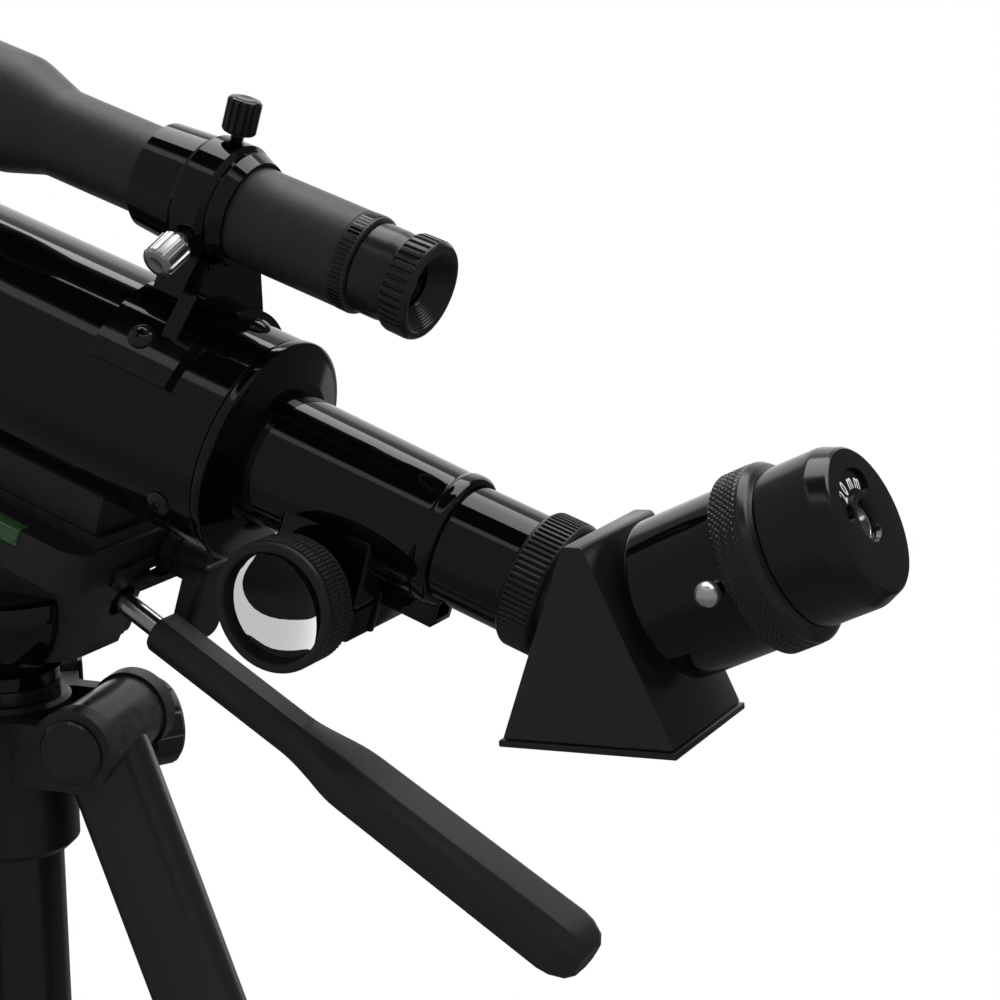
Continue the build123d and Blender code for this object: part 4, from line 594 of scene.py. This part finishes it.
def make_finder_screw(index, look):
    """Thumbscrew with coarse ribs and a thin threaded shaft; local X points out."""
    where = outward(-103.0, 120.0 * index, 0, FINDER)
    head_r = 4.2
    head = [(17.1, 1.6, 0.2), (17.3, 3.6, 0.3), (18.0, head_r, 0.2, 1.0), (25.0, head_r, 0.2, 1.0),
            (25.7, 3.6, 0.3), (25.9, 2.2, 0.2), (25.6, 0)]
    pitch = 0.44
    thread = []
    x = 12.0
    while x < 16.8:
        thread += [(x, 1.25), (x + pitch / 2, 1.72)]
        x += pitch
    count = 14
    lathe(f"finder_thumbscrew_{index + 1}", FINDER_SCREW_BODIES[index], FINISH[look], where,
          [(11.95, 0)] + thread + head, (f"finder_screw_{index + 1}",), seg=count * 10,
          grip=ribs(count, depth=0.6, land=0.55, soft=0.3))


# ------------------------------------------------------------------ focuser
LIP = -18.9                   # rear end of the focuser's tube
DRAW_R = 14.54
DRAW_BORE_R = 13.1
DRAW_CUT_R = 15.0             # room for the drawtube in the housing and the rack's channel
PINION_AT = (-46.0, -20.3)    # along the tube and up from its axis
HOUSING = (-58.5, -33.5)
HOUSING_HALF = 16
HOUSING_FOOT = -29.0
CHANNEL_HALF = 4.8
COLLAR_R = 16.6


def make_focuser():
    gloss = FINISH["polished black"]
    slot = slots["focuser_body"]
    body = [(-100, 14.6), (-100, 16.9, 0.3), (CELL_REAR, 16.9), (-23.4, 15.95, 0.6), (-22.6, 16.45, 0.6),
            (-20.0, 16.5, 0.9), (LIP, 15.7, 0.7), (LIP, 14.6, 0.2)]
    lathe("focuser_tube", "optical_tube", gloss, TUBE, body, ("focuser_body",), seg=192)
    x0, x1 = HOUSING
    upper = [(x0, -20.3), (x1, -20.3), (x1, -2.0, 1.5), (x0, -2.0, 3.0)]
    block = slab("focuser_housing", "optical_tube", gloss, TUBE, upper, -HOUSING_HALF, HOUSING_HALF,
                 bevel=1.2, slot=slot)
    carve(block, [(bar_mesh(-100, 0, DRAW_CUT_R, 96), TUBE)])
    trough = [(x1 - 0.5, -21.0), (LIP + 0.05, -21.0, 0.3), (LIP + 0.05, -13.0), (x1 - 0.5, -13.0)]
    channel = slab("rack_channel", "optical_tube", gloss, TUBE, trough, -CHANNEL_HALF, CHANNEL_HALF,
                   bevel=0.5, slot=slot)
    carve(channel, [(box_mesh(x1 - 4, 0, -2.8, 2.8, -19.4, -10), TUBE),
                    (bar_mesh(-100, 0, DRAW_CUT_R, 96), TUBE)])
    bead = [(x1 - 3.0, 0), (x1 - 2.6, 0.9, 0.5), (LIP - 3.8, 0.7, 0.4), (LIP - 3.4, 0)]
    for name, side in (("channel_bead", -1), ("far_channel_bead", 1)):
        lathe(name, "optical_tube", gloss, TUBE @ shift(0, side * CHANNEL_HALF, -15.1), bead, seg=24,
              slot=slot)
    lower = [(x0, -20.35), (x0, HOUSING_FOOT, 2.5), (x1, HOUSING_FOOT, 1.2), (x1, -20.35)]
    slab("pinion_housing_cover", "optical_tube", gloss, TUBE, lower, -HOUSING_HALF, HOUSING_HALF,
         bevel=1.0, replaced=("pinion_cover",))
    rib = [(x1 - 0.6, -28.6), (x1 + 1.0, -28.2, 0.4), (x1 + 1.0, -17.2, 0.4), (x1 - 0.6, -17.0)]
    slab("housing_rib", "optical_tube", gloss, TUBE, rib, -6.4, -5.2, bevel=0.3, slot=slot)
    make_drawtube()
    dress(["focus_rack"], "moulded black")
    dress(["pinion_shaft"], "bright steel")


def make_drawtube():
    end = 8.0
    tube = [(-100, DRAW_BORE_R), (-100, DRAW_R, 0.3), (end, DRAW_R, 0.2), (end, DRAW_BORE_R)]
    lathe("draw_tube", "focus_tube", FINISH["polished black"], TUBE, tube, ("drawtube",), seg=160)
    count = 72
    collar = [(0, 14.64), (0, 15.6, 0.2), (0.9, 16.45, 0.3), (1.5, COLLAR_R, 0.1, 1.0),
              (end, COLLAR_R, 0.1, 1.0), (8.6, 16.45, 0.2), (9.5, 15.8, 0.3), (9.5, 12.31),
              (8.05, 12.31), (8.05, 14.64)]
    lathe("draw_tube_collar", "focus_tube", FINISH["moulded black"], TUBE, collar,
          ("drawtube_collar",), seg=count * 6, grip=ribs(count, depth=0.62, land=0.46, soft=0.3))


def square_knurl(count, pitch, depth):
    """Little square studs: grooves round the rim every pitch, and along it count times."""
    half = 0.20    # of a groove, as a share of the way from one to the next

    def lift(x, turn):
        t = (turn * count / (2 * pi)) % 1.0
        u = (x / pitch) % 1.0
        valley = max(1 - abs(t - 0.5) / half, 1 - abs(u - 0.5) / half)
        return -depth * max(0.0, min(1.0, valley))
    return lift


KNOB_R = 15.65
KNOB_BORE_R = 2.6
KNOB_BANDS = ((22.8, 16), (27.3, 14))    # start of a knurled band and its rows
GROOVE_R = 15.1
DISH_R = 12.6
DISH_EDGE = 29.4
DISH_DEPTH = 3.8


def make_focus_knob(name, side, node):
    """Dished knob with two knurled bands and a glossy dish; gives back the dish."""
    where = TUBE @ shift(PINION_AT[0], 0, PINION_AT[1]) @ spin(90 * side, "Z")
    count = 88
    step = 0.25
    profile = [(16.3, KNOB_BORE_R), (16.3, 6.0, 0.3), (22.0, 6.0), (22.0, 14.9, 0.3), (22.5, 15.4, 0.2)]
    for start, rows in KNOB_BANDS:
        profile.append((start, GROOVE_R))
        profile += [(start + step + step * k, KNOB_R, 0, 1.0) for k in range(rows)]
        profile.append((start + step + step * rows, GROOVE_R))
    profile += [(31.3, 15.3), (31.5, KNOB_R, 0.2), (32.4, KNOB_R, 0.3), (33.0, 15.1, 0.35),
                (33.0, 13.55, 0.08), (32.75, 13.45, 0.08), (32.8, 13.3, 0.08),
                (DISH_EDGE, DISH_R + 0.05), (24.2, DISH_R), (24.2, KNOB_BORE_R)]
    lathe(name, "focus_pinion", FINISH["moulded black"], where, profile, (node,), seg=count * 6,
          grip=square_knurl(count, pitch=1.0, depth=0.34))
    ball = (DISH_R ** 2 + DISH_DEPTH ** 2) / (2 * DISH_DEPTH)
    steps = 24
    bowl = [(23.6, 0), (23.6, 9.0), (29.0, DISH_R + 0.02)]
    for k in range(steps, -1, -1):
        r = DISH_R * k / steps
        bowl.append((DISH_EDGE - DISH_DEPTH + ball - (ball ** 2 - r ** 2) ** 0.5, r))
    return lathe(name + "_dish", "focus_pinion", FINISH["dish"], where, bowl, seg=160, slot=slots[node])


# ------------------------------------------------------------------ diagonal and eyepiece
PRISM_SIDE = [(-23.1, -24.0), (19.5, -24.0), (0.69, 21.4), (-4.29, 21.4)]
PRISM_HALF = 19.07
BASE_HALF = 19.75
HOLDER_R = 18.9
HOLDER_BORE_R = 15.95
RING_START = 37.2
RING_END = 47.5
RING_R = 21.0


def diamond_knurl(count, lean, depth):
    """Fine crossed diagonal grooves; lean is how far a groove turns along one millimetre."""
    half = 0.22    # of a groove, as a share of the way from one to the next

    def lift(x, turn):
        a = (turn * count / (2 * pi) + x * lean) % 1.0
        b = (turn * count / (2 * pi) - x * lean) % 1.0
        return -depth * max(0.0, 1 - min(abs(a - 0.5), abs(b - 0.5)) / half)
    return lift


def make_diagonal():
    slab("prism_housing", "diagonal", FINISH["satin black"], PRISM,
         [(x, z, 1.0) for x, z in PRISM_SIDE], -PRISM_HALF, PRISM_HALF, bevel=0.55,
         replaced=("diagonal_housing",))
    base = [(-23.8, -25.6), (20.2, -25.6), (20.2, -24.02), (-23.8, -24.02)]
    slab("prism_base_plate", "diagonal", FINISH["moulded black"], PRISM, base, -BASE_HALF, BASE_HALF,
         bevel=0.35, replaced=("diagonal_base_cover",))
    start, end = 14.0, 45.0
    tube = [(start, HOLDER_BORE_R), (start, 18.4), (start + 0.8, HOLDER_R, 0.4), (end, HOLDER_R),
            (end, HOLDER_BORE_R)]
    lathe("holder_tube", "diagonal", FINISH["polished black"], EYE, tube, ("eyepiece_holder",), seg=192)
    count = 80
    ring = [(RING_START, 19.0), (RING_START, 20.2, 0.3), (37.9, 20.9, 0.2)]
    ring += [(38.0 + 0.25 * k, RING_R, 0, 1.0) for k in range(25)]
    ring += [(44.4, 20.75), (44.7, 20.9, 0.2), (45.4, 20.9, 0.4), (46.7, 19.9, 0.5), (47.3, 18.6, 0.3),
             (RING_END, 18.2, 0.1), (RING_END, HOLDER_BORE_R), (45.05, HOLDER_BORE_R), (45.05, 19.0)]
    lathe("holder_ring", "diagonal", FINISH["satin black"], EYE, ring, ("holder_collar",),
          seg=count * 6, grip=diamond_knurl(count, lean=0.75, depth=0.34))
    dress(["nosepiece"], "chrome")
    dress(["diagonal_prism"], "lens glass")


def make_holder_screw():
    """Polished ball on a short waisted stem; local X points to the near side."""
    where = EYE @ shift(33.8, 0, 0) @ spin(-90, "Z")
    middle = 22.0
    ball_r = 2.9
    stem = [(15.9, 0), (15.9, 1.5, 0.1), (18.95, 1.5), (18.95, 1.74)]
    turns = [radians(a) for a in range(150, 0, -6)]
    ball = [(middle + ball_r * cos(a), ball_r * sin(a)) for a in turns]
    lathe("holder_ball_screw", "holder_screw", FINISH["ball chrome"], where,
          stem + ball + [(middle + ball_r, 0)], ("holder_thumbscrew",), seg=64)


EYE_END = 65.1
EYE_R = 18.4
WINDOW_R = 9.2            # circle that the marking's window follows
WINDOW_HALF = 2.7
WINDOW_ENDS = (-30, 64)   # degrees from the top towards the near side
LETTER_WIDTHS = {"m": 0.60, " ": 0.16}
OTHER_WIDTH = 0.41
LETTER_SQUEEZE = 0.66


def marking(name, body, look, words, centre_angle, radius, height, where, slot):
    """Words set round an arc on a face whose local X points out, tops outward."""
    curve = bpy.data.curves.new(name, "FONT")
    curve.size = height
    curve.extrude = 0.02
    curve.offset = 0.012 * height
    curve.align_x = "CENTER"
    bm = bmesh.new()
    widths = [LETTER_WIDTHS.get(letter, OTHER_WIDTH) for letter in words]
    at = -sum(widths) / 2
    for letter, width in zip(words, widths):
        angle = radians(centre_angle) + (at + width / 2) * height / radius
        at += width
        if letter == " ":
            continue
        curve.body = letter
        holder = bpy.data.objects.new("letter", curve)
        bpy.context.scene.collection.objects.link(holder)
        bpy.context.view_layer.update()
        depsgraph = bpy.context.evaluated_depsgraph_get()
        mesh = bpy.data.meshes.new_from_object(holder.evaluated_get(depsgraph))
        turn = Matrix(((0, 0, 1, 0), (cos(angle), sin(angle), 0, radius * sin(angle)),
                       (-sin(angle), cos(angle), 0, radius * cos(angle)), (0, 0, 0, 1)))
        mesh.transform(turn @ Matrix.Diagonal((LETTER_SQUEEZE, 1, 1, 1)))
        bm.from_mesh(mesh)
        bpy.data.objects.remove(holder)
        bpy.data.meshes.remove(mesh)
    as_piece(name, body, look, bm, where, slot=slot)


def polar(radius, angle):
    """Point across local X, angle degrees from the top towards the near side."""
    a = radians(angle)
    return Vector((-radius * sin(a), radius * cos(a)))


def window_mesh(half, x0, x1):
    """Curved slot with round ends that the marking sits in, from x0 to x1."""
    steps = 28
    cap_steps = 12
    start, end = WINDOW_ENDS
    sweep = [start + (end - start) * k / steps for k in range(steps + 1)]
    cap = [180 * k / cap_steps for k in range(1, cap_steps)]
    points = [polar(WINDOW_R + half, a) for a in sweep]
    points += [polar(WINDOW_R, end) + polar(half, end + b) for b in cap]
    points += [polar(WINDOW_R - half, a) for a in reversed(sweep)]
    points += [polar(WINDOW_R, start) - polar(half, start + b) for b in cap]
    return skin([[(x, y, z) for y, z in points] for x in (x0, x1)])


def make_eyepiece():
    shell = [(47.55, 15.9), (47.55, 17.9, 0.2), (47.9, EYE_R, 0.2), (60.5, EYE_R, 0.8), (64.6, 16.75, 0.15),
             (EYE_END, 16.2, 0.12), (EYE_END, 4.9, 0.25), (64.1, 4.15, 0.3), (60.6, 4.0), (59.0, 12.7),
             (51.6, 12.7), (51.6, 15.9)]
    body = lathe("eyepiece_shell", "eyepiece", FINISH["eyepiece black"], EYE, shell,
                 ("eyepiece_body",), seg=192)
    carve(body, [(window_mesh(WINDOW_HALF, EYE_END - 0.9, EYE_END + 1), EYE)])
    as_piece("marking_plate", "eyepiece", FINISH["polished black"],
             window_mesh(WINDOW_HALF - 0.05, EYE_END - 1.3, EYE_END - 0.85), EYE,
             slot=slots["eyepiece_body"])
    marking("focal_length_marking", "eyepiece", FINISH["engraved white"], "20 mm", centre_angle=-6,
            radius=7.5, height=5.0, where=EYE @ shift(EYE_END - 0.84), slot="steel")
    lathe("eye_lens_ring", "eyepiece", FINISH["bright steel"], EYE,
          [(61.2, 2.9), (63.3, 3.35, 0.15), (63.3, 3.98), (61.2, 3.98)], seg=64, slot="steel")
    dress(["eyepiece_barrel"], "chrome", bevel=0.15)
    dress(["eyepiece_lenses"], "lens glass")


# ------------------------------------------------------------------ platform, head and tripod
PLATFORM_TOP = -36.8
PLATFORM_LOW = -48.8


def make_head():
    lying = TUBE @ spin(-90)
    notch = 9.3    # how near the axis the notch of the far edge ends
    outline = [(-193, -25, 8), (-105, -25, 8), (-105, 25, 8), (-150, 25), (-150, notch), (-160, notch),
               (-160, 25), (-193, 25, 8)]
    plate = slab("head_platform", "optical_tube", FINISH["moulded black"], lying, outline,
                 -PLATFORM_TOP, -PLATFORM_LOW, bevel=0.9, replaced=("platform",))
    vial_seat = TUBE @ shift(-131, -22.8, -39.2)
    carve(plate, [(bar_mesh(-8.2, 8.2, 3.3), vial_seat)])
    lathe("spirit_vial", "optical_tube", FINISH["vial"], vial_seat,
          [(-8, 0), (-8, 2.7, 0.3), (-7.6, 3.1, 0.3), (7.6, 3.1, 0.3), (8, 2.7, 0.3), (8, 0)],
          ("bubble_level",), seg=64)
    dress(["tube_foot"], "moulded black", bevel=0.5)
    dress(["tilt_body", "side_tilt_lever"], "moulded black", bevel=0.5)
    dress(["camera_screw", "pan_lock_knob", "column_lock_knob"], "moulded black", bevel=0.3)
    dress(["pan_body"], "polished black", bevel=0.5)
    dress(["tilt_axle"], "bright steel")


GRIP_START = 13.0
GRIP_END = 150.0
ROD_BORE_R = 2.92
ROD_BORE_END = 52.9
NECK_R = 5.7
NECK_END = 58.0
FLARE_END = 79.0


def make_grip():
    """Round neck that flares into a flattened handle with faceted corners and a ridge."""
    side = [(-5.4, 7.0, 0.7), (-6.8, 5.9, 0.4), (-9.3, 4.5, 0.8), (-10.0, 0.5, 2.0), (-9.4, -4.3, 0.8),
            (-5.2, -7.0, 0.8)]
    outline = rounded(side + [(-y, z, r) for y, z, r in reversed(side)])

    def section(x, share, size, neck=NECK_R):
        """Ring at x, share of the way from the round neck to the handle's outline."""
        ring = []
        for y, z, _ in outline:
            turn = atan2(y, z)
            ring.append((x, neck * sin(turn) * (1 - share) + y * size * share,
                         neck * cos(turn) * (1 - share) + z * size * share))
        return ring

    sections = [section(ROD_BORE_END, 0, 1, ROD_BORE_R), section(GRIP_START, 0, 1, ROD_BORE_R),
                section(GRIP_START, 0, 1, NECK_R - 1.2), section(GRIP_START + 0.4, 0, 1, NECK_R - 0.4),
                section(GRIP_START + 1.2, 0, 1)]
    steps = 12
    for k in range(steps + 1):
        t = k / steps
        share = t * t * (3 - 2 * t)
        sections.append(section(NECK_END + (FLARE_END - NECK_END) * t, share, 0.94))
    for back, size in ((8, 1.0), (5, 0.95), (1.6, 0.78), (0, 0.55)):
        sections.append(section(GRIP_END - back, 1, size))
    as_piece("handle_grip", "pan_handle", FINISH["grip rubber"], skin(sections), HANDLE, 30.0,
             ("pan_handle_grip",))
    dress(["pan_handle_rod"], "bright steel")


def make_tripod():
    dress(["center_column"], "satin black", bevel=0.2)
    dress(["shoulder"], "moulded black", bevel=0.5)
    dress(["leg_hinge_pins"], "black screw", bevel=0.2)
    for number in (1, 2, 3):
        dress([f"leg_upper_{number}", f"leg_lower_{number}"], "leg black", bevel=0.2)
        dress([f"leg_foot_{number}"], "grip rubber", bevel=0.5)
        dress([f"flip_lever_{number}"], "moulded black", bevel=0.5)


make_optical_tube()
make_finder()
for number, look in enumerate(("black screw", "silver knurl", "black screw")):
    make_finder_screw(number, look)
make_focuser()
near_dish = make_focus_knob("near_focus_knob", -1, "focus_knob_near")
make_focus_knob("far_focus_knob", 1, "focus_knob_far")
make_diagonal()
make_holder_screw()
make_eyepiece()
make_head()
make_grip()
make_tripod()
BY_SLOT = {"gloss_black": "polished black", "painted_tube": "tube paint", "matte_black": "moulded black",
           "black_aluminium": "leg black", "leg_aluminium": "leg black", "bright_chrome": "chrome",
           "steel": "bright steel", "black_steel": "black screw", "rubber": "grip rubber",
           "optical_glass": "lens glass", "green_vial": "vial"}
for name in nodes:
    if name not in dressed:
        dress([name], BY_SLOT[slots[name]])


# ------------------------------------------------------------------ camera
CAMERA_AT = Vector((0.39465, -0.4672, 0.59545))
CAMERA_TURN = radians(27.88)
CAMERA_DROP = radians(14.147)
VIEW_TURN = Euler((pi / 2 - CAMERA_DROP, 0, CAMERA_TURN))


def make_camera():
    data = bpy.data.cameras.new("camera")
    data.lens = 85.3
    data.sensor_width = 36
    data.clip_start = 0.01
    data.clip_end = 100
    camera = bpy.data.objects.new("camera", data)
    bpy.context.scene.collection.objects.link(camera)
    bpy.context.scene.camera = camera
    camera.location = CAMERA_AT
    camera.rotation_euler = VIEW_TURN


# ------------------------------------------------------------------ studio
# Stretches over which one part of the surround passes into the next, as cosines between
# the direction looked in and the shared frame's Y (back), X (right) or Z (up).
WALL_BACK = (0.35, 0.6)
WALL_RIGHT = (0.12, 0.26)
WALL_FOOT_UP = (-0.35, -0.05)
WALL_HEAD_UP = (0.42, 0.60)
GREY_UP = (-0.6, -0.2)
STRIP_LOW_UP = (0.815, 0.83)
STRIP_HIGH_UP = (0.88, 0.895)
STRIP_BACK = (-0.3, 0.0)
GAP_UP = (0.885, 0.91)
PLAIN_LIGHT = 0.75      # strength of the surround for matte faces


def lamp(name, at, aim, size, radiance):
    """Rectangular light of the given radiance."""
    data = bpy.data.lights.new(name, "AREA")
    data.shape = "RECTANGLE"
    data.size, data.size_y = size
    data.energy = radiance * pi * size[0] * size[1]
    light = bpy.data.objects.new(name, data)
    bpy.context.scene.collection.objects.link(light)
    light.location = at
    light.rotation_euler = (Vector(aim) - Vector(at)).to_track_quat("-Z", "Y").to_euler()


def ramp_between(tree, value, stretch, ends=(0.0, 1.0)):
    """Smooth passage from one end value to the other over a stretch of the value."""
    node = tree.nodes.new("ShaderNodeMapRange")
    node.interpolation_type = "SMOOTHSTEP"
    tree.links.new(value, node.inputs["Value"])
    for label, number in zip(("From Min", "From Max", "To Min", "To Max"), (*stretch, *ends)):
        node.inputs[label].default_value = number
    return node.outputs["Result"]


def camera_path(tree):
    """Light path node and the mask of rays that the camera sees, straight or through glass."""
    path = tree.nodes.new("ShaderNodeLightPath")
    return path, maths(tree, "MAXIMUM", path.outputs["Is Camera Ray"], path.outputs["Is Transmission Ray"])


def make_world():
    """White surround in which polished faces see a white wall, a grey front and a dark top."""
    world = bpy.data.worlds.new("studio")
    bpy.context.scene.world = world
    world.use_nodes = True
    tree = world.node_tree
    way = tree.nodes.new("ShaderNodeTexCoord").outputs["Generated"]
    parts = tree.nodes.new("ShaderNodeSeparateXYZ")
    tree.links.new(way, parts.inputs[0])
    right, back, up = parts.outputs["X"], parts.outputs["Y"], parts.outputs["Z"]

    def times(value, *factors):
        for factor in factors:
            value = maths(tree, "MULTIPLY", value, factor)
        return value

    grey = ramp_between(tree, up, GREY_UP, (0.12, 0.22))
    behind = ramp_between(tree, back, WALL_BACK)
    wall = times(behind, ramp_between(tree, up, WALL_FOOT_UP, (0.15, 1.0)),
                 ramp_between(tree, up, WALL_HEAD_UP, (1.0, 0.45)),
                 ramp_between(tree, right, WALL_RIGHT, (1.0, 0.08)))
    corner = times(ramp_between(tree, right, WALL_RIGHT), behind)
    seen = times(maths(tree, "MAXIMUM", grey, wall), ramp_between(tree, corner, (0.0, 1.0), (1.0, 0.35)),
                 ramp_between(tree, up, GAP_UP, (1.0, 0.03)))
    strip = times(ramp_between(tree, up, STRIP_LOW_UP, (0.0, 0.9)),
                  ramp_between(tree, up, STRIP_HIGH_UP, (1.0, 0.0)),
                  ramp_between(tree, back, STRIP_BACK, (1.0, 0.0)))
    seen = maths(tree, "MAXIMUM", seen, strip)
    path, plain = camera_path(tree)
    lit = mix_node(tree, "FLOAT")
    lit.inputs["A"].default_value = PLAIN_LIGHT
    tree.links.new(seen, lit.inputs["B"])
    tree.links.new(path.outputs["Is Glossy Ray"], lit.inputs["Factor"])
    total = mix_node(tree, "FLOAT")
    total.inputs["B"].default_value = 1.0
    tree.links.new(lit.outputs["Result"], total.inputs["A"])
    tree.links.new(plain, total.inputs["Factor"])
    backdrop = tree.nodes["Background"]
    backdrop.inputs["Color"].default_value = (1, 1, 1, 1)
    tree.links.new(total.outputs["Result"], backdrop.inputs["Strength"])


# Corners of the curved card that the near knob's dish mirrors, as the camera sees it
CARD_INNER = ((-1.35, -0.19), (-0.96, -0.07), (-0.22, -0.04), (0.0, -0.4), (-0.25, -0.87), (-0.42, -1.03))
CARD_OUTER = ((-1.4, 0.3), (-0.45, 0.31), (-0.13, 0.13), (0.23, -0.16), (-0.25, -0.91), (-0.41, -1.04))
CARD_DISTANCE = 2.5
CARD_LIGHT = 12.5
FULL_ROUND = 9.0        # more than any side of the card, so that its edges are curves throughout


def make_knob_card(dish):
    """Bright curved card behind the viewer that only the near focus knob's dish mirrors."""
    right, top, front = VIEW_TURN.to_matrix().transposed()
    centre = TUBE @ Vector((PINION_AT[0], -30, PINION_AT[1]))
    edges = [rounded([(x, y, FULL_ROUND) for x, y in edge], closed=False)
             for edge in (CARD_INNER, CARD_OUTER)]
    steps = 8
    bm = bmesh.new()
    rows = []
    for a, b in zip(*edges):
        row = []
        for k in range(steps + 1):
            x = a[0] + (b[0] - a[0]) * k / steps
            y = a[1] + (b[1] - a[1]) * k / steps
            # from the flat view onto a sphere, by stereographic projection
            size = x * x + y * y
            way = (right * (2 * x) + top * (2 * y) + front * (1 - size)) / (1 + size)
            row.append(bm.verts.new(centre + way * CARD_DISTANCE))
        rows.append(row)
    for here, there in zip(rows, rows[1:]):
        for k in range(steps):
            bm.faces.new((here[k], here[k + 1], there[k + 1], there[k]))
    card = object_of("knob_card", bm)
    m, tree, _ = new_material("card_light")
    glow = tree.nodes.new("ShaderNodeEmission")
    clear = tree.nodes.new("ShaderNodeBsdfTransparent")
    path = tree.nodes.new("ShaderNodeLightPath")
    light = maths(tree, "MULTIPLY", path.outputs["Is Glossy Ray"], CARD_LIGHT)
    tree.links.new(light, glow.inputs["Strength"])
    both = tree.nodes.new("ShaderNodeAddShader")
    tree.links.new(clear.outputs[0], both.inputs[0])
    tree.links.new(glow.outputs[0], both.inputs[1])
    tree.links.new(both.outputs[0], tree.nodes["Material Output"].inputs["Surface"])
    card.data.materials.append(m)
    group = bpy.data.collections.new("mirrors_card")
    group.objects.link(dish)
    card.light_linking.receiver_collection = group


FLOOR_R = 4.0
FLOOR_FADES = (0.28, 0.6)    # metres from the middle


def make_floor():
    """White disc that fades into the white surround and keeps the shadows of the feet."""
    bm = bmesh.new()
    bmesh.ops.create_circle(bm, cap_ends=True, radius=FLOOR_R, segments=96)
    floor = object_of("floor", bm)
    floor.location = (0, 0, -0.0005)
    m, tree, paint = new_material("white_floor")
    paint.inputs["Base Color"].default_value = (0.9, 0.9, 0.9, 1)
    paint.inputs["Roughness"].default_value = 0.9
    paint.inputs["Specular IOR Level"].default_value = 0.1
    glow = tree.nodes.new("ShaderNodeEmission")
    glow.inputs["Strength"].default_value = 1.0
    place_of = tree.nodes.new("ShaderNodeTexCoord")
    length = tree.nodes.new("ShaderNodeVectorMath")
    length.operation = "LENGTH"
    tree.links.new(place_of.outputs["Object"], length.inputs[0])
    fade = ramp_between(tree, length.outputs["Value"], FLOOR_FADES)
    path, plain = camera_path(tree)
    mix = tree.nodes.new("ShaderNodeMixShader")
    tree.links.new(maths(tree, "MULTIPLY", fade, plain), mix.inputs[0])
    tree.links.new(paint.outputs["BSDF"], mix.inputs[1])
    tree.links.new(glow.outputs["Emission"], mix.inputs[2])
    clear = tree.nodes.new("ShaderNodeBsdfTransparent")
    ends = tree.nodes.new("ShaderNodeMixShader")
    tree.links.new(path.outputs["Is Glossy Ray"], ends.inputs[0])
    tree.links.new(mix.outputs["Shader"], ends.inputs[1])
    tree.links.new(clear.outputs[0], ends.inputs[2])
    tree.links.new(ends.outputs["Shader"], tree.nodes["Material Output"].inputs["Surface"])
    floor.data.materials.append(m)


make_camera()
make_world()
make_floor()
make_knob_card(near_dish)
lamp("overhead_box", at=(0.2, 0.49, 1.5), aim=(0.2, 0.49, 0.0), size=(1.5, 0.88), radiance=3.0)
bpy.context.scene.view_settings.view_transform = "Standard"
